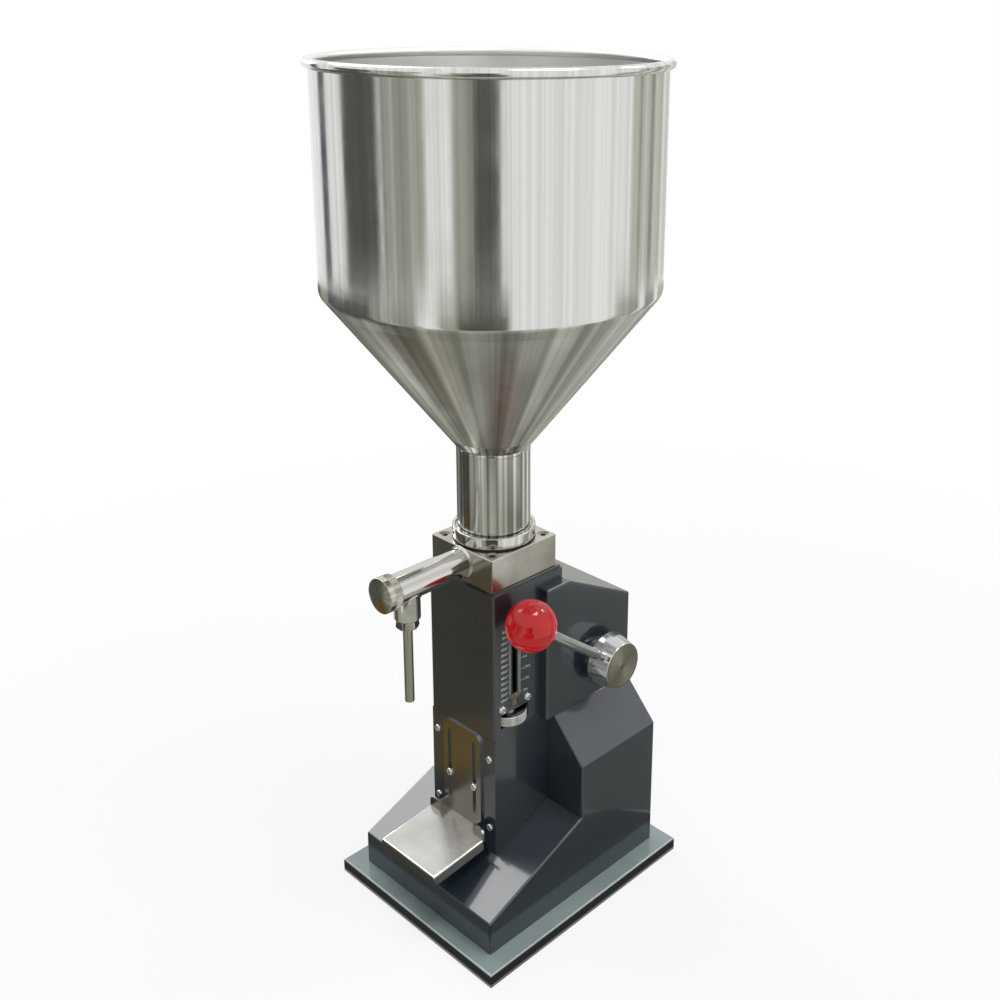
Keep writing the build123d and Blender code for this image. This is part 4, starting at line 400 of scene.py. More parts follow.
def make_looks(scene):
    """Makes every material once; the turned ones are centred on their own pieces."""
    discharge = scene.filler_discharge
    lever = scene.filler_lever
    dose = scene.filler_dose
    tube = (0, 0, discharge.axis_z)
    nozzle = (0, discharge.nozzle_y, 0)
    shaft = (0, lever.shaft_y, lever.shaft_z)
    wheel = (dose.screw_x, dose.slot_y, 0)
    upright = (ORIGIN, Z_AXIS)
    # Colour and roughness of faces with a finish of their own; the hub end's darker brownish colour is a
    # painted reflection
    wall_bore = ("e9e9e7", 0.34)
    cone_bore = ("d8d8d4", 0.45)
    neck_bore = ("dcdcd8", 0.3)
    hub_end_painted_reflection = ("a39e94", 0.2)
    # Colours painted on the tray's front, a painted shade, and on its bends, a painted highlight
    tray_shade_and_highlight = ("96938c", "fafafa")
    # Baked enamel of the base plate: grey with a trace of green; its 45 degree chamfer painted pale, partly
    # rubbed wear and partly a painted highlight, and its upright sides painted darker, a painted shade
    looks["base_paint"] = paint("base_enamel", "869696", "96a5a5", 0.35, 0.8, "c4ccc9", "181d1d")
    # Baked enamel of the sheet housings: anthracite, glossier than the base; faces at 45 degrees painted a
    # little paler, partly wear and partly a painted sheen
    looks["housing_paint"] = paint("anthracite_enamel", "192630", "212e39", 0.4, 1.0, "23303a")
    turned = {
        # Spun and polished stainless steel of the hopper, left satin inside
        "hopper_steel": ("spun_stainless", "e2e2df", "c8c8c3", 0.13, *upright, 0.6, 30.0, wall_bore),
        # Rolled stainless steel of the cone, satin, with strong painted reflection streaks up and down
        "cone_steel": ("rolled_satin_stainless", "fafaf6", "93938a", 0.35, *upright, 0.6, 8.0, cone_bore),
        # The same sheet polished at the neck
        "neck_steel": ("rolled_polished_stainless", "e8e8e4", "77776c", 0.16, *upright, 0.6, 9.0, neck_bore),
        # Turned stainless steel of the collar
        "collar_steel": ("turned_stainless_collar", "dcdcd8", "a8a8a1", 0.1, *upright, 0.4, 6.0),
        # Polished stainless steel of the discharge tube
        "tube_steel": ("polished_stainless_tube", "dededb", "bdbcb6", 0.1, tube, Y_AXIS, 0.5, 3.0),
        # Turned and knurled stainless steel of the cap, whose streaks make painted fans of light and dark on
        # its face
        "cap_steel": ("turned_stainless_cap", "dedcd3", "a39f92", 0.15, tube, Y_AXIS, 0.3, 6.0),
        # Drawn stainless steel of the nozzle and its hexagon
        "nozzle_steel": ("drawn_stainless_nozzle", "c4c2b8", "8e8c80", 0.14, nozzle, Z_AXIS, 0.5, 4.0),
        # Turned and plated steel of the lever's hub and flange, with chatter in rings; their outward end
        # faces are painted darker and brownish, a painted reflection
        "hub_chrome": ("turned_plated_hub", "dfe1e3", "b2b5b8", 0.1, shaft, X_AXIS, 0.7, 30.0, None, hub_end_painted_reflection),
        # Plated and knurled steel of the dose wheel
        "wheel_chrome": ("knurled_plated_wheel", "d6d6d4", "b0afab", 0.2, wheel, Z_AXIS, 0.4, 4.0),
    }
    flat = {
        # Plated steel of the lever's bar
        "rod_chrome": ("plated_bar", "bfc2c4", "a6a9ab", 0.11, (1.0, 0.05, 0.05), 0.6),
        # Polished stainless steel of the block
        "stainless_steel": ("polished_stainless", "c6c3ba", "aca99f", 0.18, (0.05, 0.05, 1.0), 0.5),
        # Brushed stainless sheet of the tray
        "tray_steel": ("brushed_stainless_sheet", "cfcdc9", "bbb9b4", 0.22, (0.04, 1, 1), 0.4, *tray_shade_and_highlight),
        # Bright chromium plate of the screws
        "bright_chrome": ("chromium_plate", "d9dbdc", "c6c9ca", 0.12, (1, 1, 1), 2.0),
        # Ground tool steel of the mechanism
        "machine_steel": ("ground_steel", "8d8d8b", "777775", 0.32, (1.0, 1.0, 0.1), 0.5),
        # Bare copper of the pointer
        "copper": ("copper_on_steel", "b3a095", "948379", 0.3, (1.0, 0.2, 1.0), 0.6),
        # Cast bronze of the bush
        "bronze": ("cast_bronze", "b08a4e", "8f6c3a", 0.36, (1, 1, 1), 1.0),
    }
    for kind, table in ((turned_steel, turned), (flat_steel, flat)):
        for key, values in table.items():
            looks[key] = kind(*values)
    # Glossy red phenolic of the knob
    looks["red_plastic"] = moulded("red_phenolic", "d6141a", "e01a20", 0.07)
    # Black nitrile rubber of the seals
    looks["seal_rubber"] = moulded("nitrile_rubber", "131313", "1d1d1d", 0.6)
    # White screen-print ink of the scale
    looks["print_ink"] = moulded("screen_print_ink", "e2e4e6", "eceef0", 0.5)


def add_object(name, data):
    """Makes an object of a mesh, a camera or a lamp and links it to the scene."""
    made = bpy.data.objects.new(name, data)
    bpy.context.scene.collection.objects.link(made)
    return made


def clean_mesh(mesh, distance=1e-7, flat_angle=0.0):
    """Merges a mesh's doubles, joins triangles that lie flat within an angle, turns all faces outwards."""
    form = bmesh.new()
    form.from_mesh(mesh)
    bmesh.ops.remove_doubles(form, verts=form.verts, dist=distance)
    if flat_angle:
        bmesh.ops.dissolve_limit(form, angle_limit=flat_angle, verts=form.verts, edges=form.edges)
    bmesh.ops.recalc_face_normals(form, faces=form.faces)
    form.to_mesh(mesh)
    form.free()


def grid_mesh(name, grids):
    """Closed mesh of parametric grids, each an array of points (i, j).

    Its quads are (i, j) (i+1, j) (i+1, j+1) (i, j+1), with i and j running round. A grid that starts
    and ends in a pole, where a whole row is one point, doesn't run round in i.
    """
    points = []
    faces = []
    count = 0
    for grid in grids:
        rows, columns = grid.shape[:2]
        pole = np.ptp(grid[0], axis=0).max() < 1e-9
        i = np.arange(rows - 1 if pole else rows)[:, None]
        j = np.arange(columns)[None, :]
        next_i = (i + 1) % rows
        next_j = (j + 1) % columns
        quads = [i * columns + j, next_i * columns + j, next_i * columns + next_j, i * columns + next_j]
        faces.append(np.stack(quads, axis=-1).reshape(-1, 4) + count)
        points.append(grid.reshape(-1, 3))
        count += rows * columns
    mesh = bpy.data.meshes.new(name)
    mesh.from_pydata(np.concatenate(points).tolist(), [], np.concatenate(faces).tolist())
    clean_mesh(mesh)
    return mesh


def add_piece(name, node, look, mesh, sharp=35.0):
    """Makes a mesh the piece that is seen in a CAD node's place, sharp past an angle in degrees."""
    mesh.polygons.foreach_set("use_smooth", np.ones(len(mesh.polygons), bool))
    mesh.set_sharp_from_angle(angle=math.radians(sharp))
    mesh.materials.clear()
    mesh.materials.append(looks[look])
    made = add_object(name, mesh)
    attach(made, node_body[node])
    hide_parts(node)
    return made


def add_turned(name, node, look, grids, sharp=35.0):
    """Adds a piece that is made of parametric grids."""
    return add_piece(name, node, look, grid_mesh(name, grids), sharp)


def add_dressed(name, node, look, bevel):
    """Adds a copy of a CAD node with its triangles merged to whole faces and its sharp edges broken."""
    mesh = nodes[node].data.copy()
    clean_mesh(mesh, 2e-6, math.radians(0.4))
    made = add_piece(name, node, look, mesh, 30.0)
    edges = made.modifiers.new("Broken edges", "BEVEL")
    edges.width = bevel
    edges.segments = 3
    edges.limit_method = "ANGLE"
    edges.angle_limit = math.radians(40)
    edges.harden_normals = False
    normals = made.modifiers.new("Face normals", "WEIGHTED_NORMAL")
    normals.keep_sharp = True


def arc(centre, radius, start, stop, steps):
    """Arc of an outline: c + R (cos a, sin a), with a from start to stop."""
    turn = np.linspace(start, stop, steps)
    return np.array(centre) + radius * np.stack([np.cos(turn), np.sin(turn)], 1)


def straight(radius, start, stop, steps):
    """Straight run of an outline along the axis, in even steps."""
    return np.stack([np.full(steps, radius), np.linspace(start, stop, steps)], 1)


def soften(outline, reach, steps=5, closed=True):
    """Rounds an outline's corners.

    Each corner c becomes (1 - t)^2 a + 2 t (1 - t) c + t^2 b, with a and b lying reach before and
    after c, and never past 0.45 of the run on that side.
    """
    corners = np.asarray(outline, float)
    reaches = np.broadcast_to(reach, len(corners))
    t = np.linspace(0, 1, steps)[:, None]
    made = []
    for i, corner in enumerate(corners):
        if not closed and i in (0, len(corners) - 1):
            made.append(corner[None])
            continue
        ends = []
        for neighbour in (corners[i - 1], corners[(i + 1) % len(corners)]):
            run = neighbour - corner
            size = np.linalg.norm(run)
            ends.append(corner + run / size * min(reaches[i], 0.45 * size))
        made.append((1 - t) ** 2 * ends[0] + 2 * t * (1 - t) * corner + t**2 * ends[1])
    return np.concatenate(made)


def lathe(outline, centre, axis, around, grow=None):
    """Grid of an outline (radius, height) turned about an axis.

    p = centre + h w + (r + grow) (cos a u + sin a v), with w the axis and u, v across it.
    """
    outline = np.asarray(outline)
    w = Vector(axis).normalized()
    u = X_AXIS if abs(w.x) < 0.5 else Y_AXIS
    v = w.cross(u)
    turn = np.arange(around) * TURN / around
    radius = outline[:, :1] + (grow(outline, turn) if grow else np.zeros(around))
    ring = np.cos(turn)[:, None] * np.array(u) + np.sin(turn)[:, None] * np.array(v)
    return np.array(centre) + outline[:, 1][:, None, None] * np.array(w) + radius[..., None] * ring


def cut_hole(piece, grid):
    """Cuts a drilled hole, given as a closed grid, out of a piece's mesh."""
    drill = add_object("drill", grid_mesh("drill", [grid]))
    cut = piece.modifiers.new("Drilled", "BOOLEAN")
    cut.object = drill
    cut.operation = "DIFFERENCE"
    cut.solver = "EXACT"
    bpy.context.view_layer.update()
    drilled = piece.evaluated_get(bpy.context.evaluated_depsgraph_get())
    mesh = bpy.data.meshes.new_from_object(drilled)
    piece.modifiers.remove(cut)
    piece.data = mesh
    mesh.set_sharp_from_angle(angle=math.radians(35))
    bpy.data.objects.remove(drill)


def cross_recess(x, y, arm, half, depth):
    """Depth of a cross recess: two bars of half width half that fade out at arm from the centre."""

    def bar(along, across):
        """1 in the bar's middle, falling to 0 at its sides and ends."""
        side = np.clip((half - np.abs(across)) / (0.35 * half), 0, 1)
        return side * np.clip((arm - np.abs(along)) / (0.4 * arm), 0, 1)

    return depth * np.maximum(bar(x, y), bar(y, x))


def pan_screw(seat, axis, head_r, head_h, shank_r, shank_length, twist):
    """Grid of a pan screw: a crowned head with a cross recess over a threaded shank.

    Over the head, h = H (1 - (r/R)^6)^(1/2) (1 - 0.14 (r/R)^2) less the recess; the shank's radius
    waves with its thread.
    """
    edge = 0.8 + 0.2 * np.sin(np.linspace(0.12, 1.0, 9) * TURN / 4)
    share = np.concatenate([np.linspace(0, 0.8, 26), edge])
    crown = head_h * np.sqrt(np.clip(1 - share**6, 0, 1)) * (1 - 0.14 * share**2)
    turns = max(int(shank_length / (0.7 * MM)), 2)
    down = np.linspace(0, 1, 4 * turns + 1)
    shank = shank_r * (0.93 + 0.07 * np.cos(down * turns * TURN))
    outline = np.concatenate(
        [
            np.stack([head_r * share, crown], 1),
            [[head_r, 0], [shank_r, 0]],
            np.stack([shank, -down * shank_length], 1)[1:],
            [[0, -shank_length]],
        ]
    )
    grid = lathe(outline, ORIGIN, Z_AXIS, HEAD_STEPS)
    top = grid[: len(share)]
    c, s = math.cos(twist), math.sin(twist)
    x, y = top[..., 0] * c + top[..., 1] * s, top[..., 1] * c - top[..., 0] * s
    top[..., 2] -= cross_recess(x, y, 0.62 * head_r, 0.15 * head_r, 0.62 * head_h)
    turned = np.array(Z_AXIS.rotation_difference(axis).to_matrix())
    return grid @ turned.T + np.array(seat)


def text_mesh(text, size_x, size_y):
    """Points and faces of a flat text in its own plane, scaled to the given letter size."""
    curve = bpy.data.curves.new("figures", "FONT")
    curve.body = text
    curve.resolution_u = 3
    curve.offset = 0.012
    holder = bpy.data.objects.new("figures", curve)
    mesh = bpy.data.meshes.new_from_object(holder)
    points = np.zeros(len(mesh.vertices) * 3)
    mesh.vertices.foreach_get("co", points)
    points = points.reshape(-1, 3)[:, :2] * (size_x, size_y)
    faces = [list(face.vertices) for face in mesh.polygons]
    bpy.data.objects.remove(holder)
    bpy.data.curves.remove(curve)
    bpy.data.meshes.remove(mesh)
    return points, faces


class FILLER_OT_paintwork(bpy.types.Operator):
    """Dress the painted plate and sheet housings"""

    bl_idname = "filler.paintwork"
    bl_label = "Painted housings"

    def execute(self, context):
        for node in ("base_plate", "lower_housing", "column", "front_panel", "mechanism_cover"):
            add_dressed(node + "_painted", node, node_slot[node], 0.5 * MM)
        return {"FINISHED"}


class FILLER_OT_hopper(bpy.types.Operator):
    """Build the hopper's wall, cone and neck and the collar under it"""

    bl_idname = "filler.hopper"
    bl_label = "Hopper"

    def execute(self, context):
        p = context.scene.filler_hopper
        slope = math.atan2(p.cone_top_z - p.cone_low_z, p.wall_r - p.neck_r)
        run = 4 * p.fold
        low_r = p.wall_r - run * math.cos(slope)
        low_z = p.cone_top_z - run * math.sin(slope)
        inset = p.sheet / math.sin(slope)
        inner_r = p.wall_r - p.sheet
        roll = (p.wall_r + p.roll_offset, p.rim_z)
        inner_roll = p.roll_r - p.sheet
        join_in = math.acos(-(p.roll_offset + p.sheet) / p.roll_r)
        join_out = math.acos(-p.roll_offset / inner_roll)
        mouth = math.radians(-86)
        fold = [(low_r, low_z), (p.wall_r, p.cone_top_z), (p.wall_r, p.cone_top_z + run)]
        inner_fold = [
            (inner_r, p.cone_top_z + run), (inner_r, p.cone_top_z + 0.35 * p.sheet), (low_r - inset, low_z),
        ]
        wall = [
            soften(fold, p.fold, 9, False),
            arc(roll, inner_roll, TURN - join_out, mouth, 40),
            arc(roll, p.roll_r, mouth, TURN - join_in, 48),
            soften(inner_fold, p.fold, 9, False),
        ]
        grid = lathe(np.concatenate(wall), ORIGIN, Z_AXIS, WIDE_STEPS)
        made = add_turned("hopper_wall_spun", "hopper_wall", "hopper_steel", [grid])
        made.data.materials.append(looks["cone_steel"])
        middle = np.zeros(3 * len(made.data.polygons))
        made.data.polygons.foreach_get("center", middle)
        made.data.polygons.foreach_set("material_index", (middle[2::3] < p.cone_top_z).astype(np.int32))
        gap = 0.05 * MM
        top_r = p.neck_r + run * math.cos(slope)
        top_z = p.cone_low_z + run * math.sin(slope)
        foot = low_r - gap
        cone = [(top_r, top_z), (foot, low_z - gap), (foot - inset, low_z - gap), (top_r - inset, top_z)]
        grid = lathe(soften(cone, gap), ORIGIN, Z_AXIS, WIDE_STEPS)
        add_turned("hopper_cone_rolled", "hopper_cone", "cone_steel", [grid])
        self.neck(p, (top_r - gap, top_z - gap), inset)
        self.collar(p)
        return {"FINISHED"}

    def neck(self, p, top, inset):
        """Rolled neck with the dressed weld bead under its cone: r = R + b sin t over the bead."""
        bead_turn = np.linspace(0, math.pi, 9)
        bead_z = p.cone_low_z + p.fold * (1.05 * bead_turn / math.pi - 1)
        bead = np.stack([p.neck_r + p.bead * np.sin(bead_turn), bead_z], 1)
        inner_r = p.neck_r - p.sheet
        bend = 0.6 * p.fold
        foot = [(inner_r, p.neck_low_z), (p.neck_r, p.neck_low_z), bead[0]]
        flare = [bead[-1], (p.neck_r, p.cone_low_z), top]
        bend_z = p.cone_low_z + 0.4 * p.sheet
        inner_flare = [(top[0] - inset, top[1]), (inner_r, bend_z), (inner_r, p.neck_low_z)]
        neck = [
            soften(foot, 0.2 * MM, 4, False)[:-1],
            bead,
            soften(flare, bend, 8, False)[1:],
            soften(inner_flare, bend, 8, False)[:-1],
        ]
        grid = lathe(np.concatenate(neck), ORIGIN, Z_AXIS, BROAD_STEPS)
        add_turned("hopper_neck_rolled", "hopper_neck", "neck_steel", [grid])

    def collar(self, p):
        """Turned collar: a disc over a spigot, with a groove for the neck's weld and a coned bore."""
        edge = 0.9 * MM
        seat = 0.02 * MM
        groove_z = p.collar_top_z - 1.6 * MM
        outline = [
            (p.bore_r, p.spigot_low_z), (p.spigot_r, p.spigot_low_z),
            (p.spigot_r, p.collar_low_z), (p.collar_r, p.collar_low_z),
            (p.collar_r, p.collar_top_z), (p.neck_r + 1.8 * MM, p.collar_top_z),
            (p.neck_r + 1.2 * MM, groove_z), (p.neck_r + seat, groove_z),
            (p.neck_r + seat, p.neck_low_z), (p.neck_r - p.sheet, p.neck_low_z),
            (p.bore_r, p.neck_low_z - p.neck_r + p.sheet + p.bore_r),
        ]
        reach = [edge / 2, edge / 2, edge / 4, edge, edge, edge / 2, edge / 3, seat, seat, seat, edge]
        grid = lathe(soften(outline, reach), ORIGIN, Z_AXIS, BROAD_STEPS)
        add_turned("hopper_collar_turned", "hopper_collar", "collar_steel", [grid])


class FILLER_OT_discharge(bpy.types.Operator):
    """Build the discharge tube with its boss and welds, the cap, the hexagon and the nozzle"""

    bl_idname = "filler.discharge"
    bl_label = "Discharge and nozzle"

    def execute(self, context):
        p = context.scene.filler_discharge
        tube_point = (0, 0, p.axis_z)
        nozzle_point = (0, p.nozzle_y, 0)
        edge = 0.4 * MM
        self.tube(p, tube_point, nozzle_point, edge)
        self.cap(p, tube_point)
        self.nozzle(p, nozzle_point, edge)
        return {"FINISHED"}

    def tube(self, p, tube_point, nozzle_point, edge):
        """Tube with the rippled weld at its root, and the boss under it with a weld on their joint.

        The boss's top and its weld bead lie on the tube: z = axis_z - sqrt(R^2 - x^2).
        """
        outline = [(p.bore_r, p.root_y), (p.tube_r, p.root_y), (p.tube_r, p.end_y), (p.bore_r, p.end_y)]
        inner_r = p.tube_r - edge
        toe_y = p.root_y - p.weld
        waist = 0.45 * p.weld
        weld = [
            (inner_r, p.root_y), (p.tube_r + p.weld, p.root_y), (p.tube_r + waist, p.root_y - waist),
            (p.tube_r, toe_y), (inner_r, toe_y),
        ]
        ripples = 90

        def ripple(outline, turn):
            """Weld ripple 0.05 mm high on the bead's outer points: d cos(n a)."""
            return 0.05 * MM * np.cos(ripples * turn)[None, :] * (outline[:, :1] > p.tube_r)

        tube_low = p.axis_z - p.tube_r
        lid_z = tube_low - 1.2 * MM
        boss = [
            (p.seat_r, lid_z), (p.chamber_r, lid_z), (p.chamber_r, p.boss_low_z),
            (p.boss_r, p.boss_low_z), (p.boss_r, tube_low), (p.seat_r, tube_low),
        ]
        steps = 6
        boss = soften(boss, [0, edge, edge, 1.6 * MM, 0, 0], steps)
        boss_grid = lathe(boss, nozzle_point, Z_AXIS, SLIM_STEPS)
        top = boss_grid[-2 * steps :]
        top[..., 2] = p.axis_z - np.sqrt(((p.tube_r + p.bore_r) / 2) ** 2 - top[..., 0] ** 2)
        bead = arc((p.boss_r, 0), 0.9 * MM, 0, TURN * 11 / 12, 12)
        bead = lathe(bead, nozzle_point, Z_AXIS, SLIM_STEPS)
        joint_x = p.boss_r * np.cos(np.arange(SLIM_STEPS) * TURN / SLIM_STEPS)
        bead[..., 2] += p.axis_z - np.sqrt(p.tube_r**2 - joint_x**2)
        grids = [
            lathe(soften(outline, edge), tube_point, Y_AXIS, TUBE_STEPS),
            lathe(soften(weld, edge), tube_point, Y_AXIS, 4 * ripples, ripple),
            boss_grid,
            bead,
        ]
        add_turned("discharge_tube_welded", "discharge_tube", "tube_steel", grids)

    def cap(self, p, tube_point):
        """Domed cap with a straight knurl over its rear half."""
        inner_r = p.tube_r + 0.05 * MM
        back_y = p.cap_outer_y + p.cap_length
        seat_y = p.end_y - 1.5 * MM
        chamfer = 0.8 * MM
        face_r = np.linspace(0, 0.93, 24) * p.cap_r
        face = np.stack([face_r, p.cap_outer_y + p.cap_dome * (face_r / p.cap_r) ** 2], 1)
        rim = straight(p.cap_r, p.cap_outer_y + 2.4 * MM, back_y - chamfer, 36)
        shoulder = [face[-1], (p.cap_r, p.cap_outer_y + p.cap_dome), rim[0]]
        inside = [rim[-1], (p.cap_r - chamfer, back_y), (inner_r, back_y), (inner_r, seat_y), (0, seat_y)]
        shoulder = soften(shoulder, 0.7 * MM, 6, False)
        inside = soften(inside, 0.3 * MM, 4, False)
        cap = np.concatenate([face[:-1], shoulder[:-1], rim, inside[1:]])

        def knurl(outline, turn):
            """Ridges -d |sin(n a / 2)| on the rim's rear 7 mm, fading in over 0.6 mm."""
            near = np.clip((outline[:, 1] - (back_y - 7.5 * MM)) / (0.6 * MM), 0, 1)
            near *= np.clip((back_y - 0.5 * MM - outline[:, 1]) / (0.3 * MM), 0, 1)
            near *= outline[:, 0] > p.cap_r - 0.1 * MM
            return -p.cap_knurl * near[:, None] * np.abs(np.sin(p.knurls * turn / 2))[None, :]

        grid = lathe(cap, tube_point, Y_AXIS, p.knurls * 8, knurl)
        add_turned("tube_cap_knurled", "tube_cap", "cap_steel", [grid], 50.0)

    def nozzle(self, p, nozzle_point, edge):
        """Chamfered hexagon under the boss, and the nozzle tube turned down where it enters it."""
        nut_top = p.boss_low_z
        nut_low = nut_top - p.nut_height
        gland_z = nut_top + p.gland
        gland_r = p.chamber_r - edge / 8
        corner_r = p.nut_flats / math.sqrt(3)
        bore = 3.82 * MM
        bevel = 0.9 * MM
        rise = np.linspace(0, 1, 7)
        side = np.concatenate([nut_low + bevel * rise, nut_top - 0.4 * bevel * rise[::-1]])
        nut = np.concatenate(
            [
                [[bore, nut_low], [corner_r - 1.6 * bevel, nut_low]],
                np.stack([np.full(len(side), corner_r), side], 1),
                [[corner_r - bevel, nut_top], [gland_r, nut_top], [gland_r, gland_z], [bore, gland_z]],
            ]
        )

        def hexagon(outline, turn):
            """r = min(flats / 2 / cos(a mod 60 - 30), cone), the cone taking the corners off."""
            flat = p.nut_flats / 2 / np.cos(np.mod(turn, TURN / 6) - TURN / 12)
            end = np.minimum(outline[:, 1] - nut_low, nut_top - outline[:, 1])
            cone = corner_r - 1.6 * np.clip(bevel - end, 0, None)
            limit = np.minimum(flat[None, :], np.minimum(outline[:, 0], cone)[:, None])
            return np.where(outline[:, :1] > p.chamber_r, limit - outline[:, :1], 0)

        grid = lathe(nut, nozzle_point, Z_AXIS, BROAD_STEPS, hexagon)
        add_turned("nozzle_hexagon", "nozzle_nut", "nozzle_steel", [grid], 20.0)
        spigot_r = bore - edge / 20
        nozzle = [
            (p.nozzle_bore_r, p.nozzle_tip_z), (p.nozzle_r, p.nozzle_tip_z), (p.nozzle_r, nut_low),
            (spigot_r, nut_low), (spigot_r, gland_z), (p.nozzle_bore_r, gland_z),
        ]
        grid = lathe(soften(nozzle, edge), nozzle_point, Z_AXIS, FINE_STEPS)
        add_turned("nozzle_needle", "nozzle_tube", "nozzle_steel", [grid])


class FILLER_OT_lever(bpy.types.Operator):
    """Build the bearing flange, the hub, the rod and the ball"""

    bl_idname = "filler.lever"
    bl_label = "Lever"

    def execute(self, context):
        p = context.scene.filler_lever
        shaft_point = (0, p.shaft_y, p.shaft_z)
        rod_point = (p.rod_x, p.shaft_y, p.shaft_z)
        way = Vector((0, -math.cos(p.slope), math.sin(p.slope)))
        bore = p.shaft_r + 0.05 * MM
        edge = 0.6 * MM
        self.flange(p, shaft_point, bore, edge)
        hub = self.hub(p, shaft_point, bore)
        past_hub = p.hub_inner_r + 4 * MM
        rod_hole = (p.rod_r + 0.02 * MM, p.rod_start - 0.3 * MM, past_hub)
        screw_hole = (p.set_screw_r, -past_hub, -p.shaft_r)
        for radius, start, stop in (rod_hole, screw_hole):
            drill = [(0, start), (radius, start), (radius, stop), (0, stop)]
            cut_hole(hub, lathe(drill, rod_point, way, HOLE_STEPS))
        rod_end = p.reach - p.knob_r + p.knob_depth - 0.3 * MM
        rod = [(0, p.rod_start), (p.rod_r, p.rod_start), (p.rod_r, rod_end), (0, rod_end)]
        grid = lathe(soften(rod, edge, 5, False), rod_point, way, FINE_STEPS)
        add_turned("lever_rod_bar", "lever_rod", "rod_chrome", [grid])
        self.ball(p, rod_point, way)
        return {"FINISHED"}

    def flange(self, p, shaft_point, bore, edge):
        """Turned bearing flange, from the bracket's cheek through the cover to the hub."""
        rim_x = p.cover_x + p.flange_thickness
        end_x = p.hub_inner_x - 0.5 * MM
        outline = [
            (bore, p.flange_inner_x), (p.flange_low_r, p.flange_inner_x), (p.flange_low_r, p.cheek_x),
            (p.neck_r, p.cheek_x), (p.neck_r, p.cover_x), (p.flange_r, p.cover_x), (p.flange_r, rim_x),
            (p.flange_low_r + 1.5 * MM, rim_x + 1.0 * MM), (p.flange_low_r, end_x), (bore, end_x),
        ]
        grid = lathe(soften(outline, edge), shaft_point, X_AXIS, SLIM_STEPS)
        add_turned("bearing_flange_turned", "bearing_flange", "hub_chrome", [grid])

    def hub(self, p, shaft_point, bore):
        """Tapered hub; its end face has turned grooves 0.14 mm deep, 2.1 mm apart, fading at the centre."""
        face_r = np.linspace(0, 1, 90) * (p.hub_outer_r - 1.6 * MM)
        grooves = 0.07 * MM * (1 + np.cos(face_r / (2.1 * MM) * TURN)) * np.clip(face_r / (4 * MM), 0, 1)
        face = np.stack([face_r, p.hub_outer_x - grooves], 1)
        end_x = p.hub_outer_x - p.hub_wall
        rim = [
            face[-1], (p.hub_outer_r, p.hub_outer_x), (p.hub_inner_r, p.hub_inner_x),
            (bore, p.hub_inner_x), (bore, end_x), (0, end_x),
        ]
        outline = np.concatenate([face[:-1], soften(rim, 0.9 * MM, 6, False)])
        grid = lathe(outline, shaft_point, X_AXIS, BROAD_STEPS)
        return add_turned("lever_hub_turned", "lever_hub", "hub_chrome", [grid])

    def ball(self, p, rod_point, way):
        """Ball knob: an arc from its far pole to the small flat that the rod enters."""
        flat_at = p.reach - p.knob_r + p.knob_flat
        mouth = math.acos(p.knob_flat / p.knob_r - 1)
        short_of_mouth = 0.06
        ball = arc((0, p.reach), p.knob_r, TURN / 4, TURN / 4 - mouth + short_of_mouth, 72)
        hole_r = p.rod_r + 0.05 * MM
        floor = p.reach - p.knob_r + p.knob_depth
        flat_r = p.knob_r * math.sin(mouth)
        foot = [ball[-1], (flat_r, flat_at), (hole_r, flat_at), (hole_r, floor), (0, floor)]
        outline = np.concatenate([ball[:-1], soften(foot, 0.5 * MM, 6, False)])
        grid = lathe(outline, rod_point, way, SLIM_STEPS)
        add_turned("lever_ball", "lever_knob", "red_plastic", [grid], 40.0)


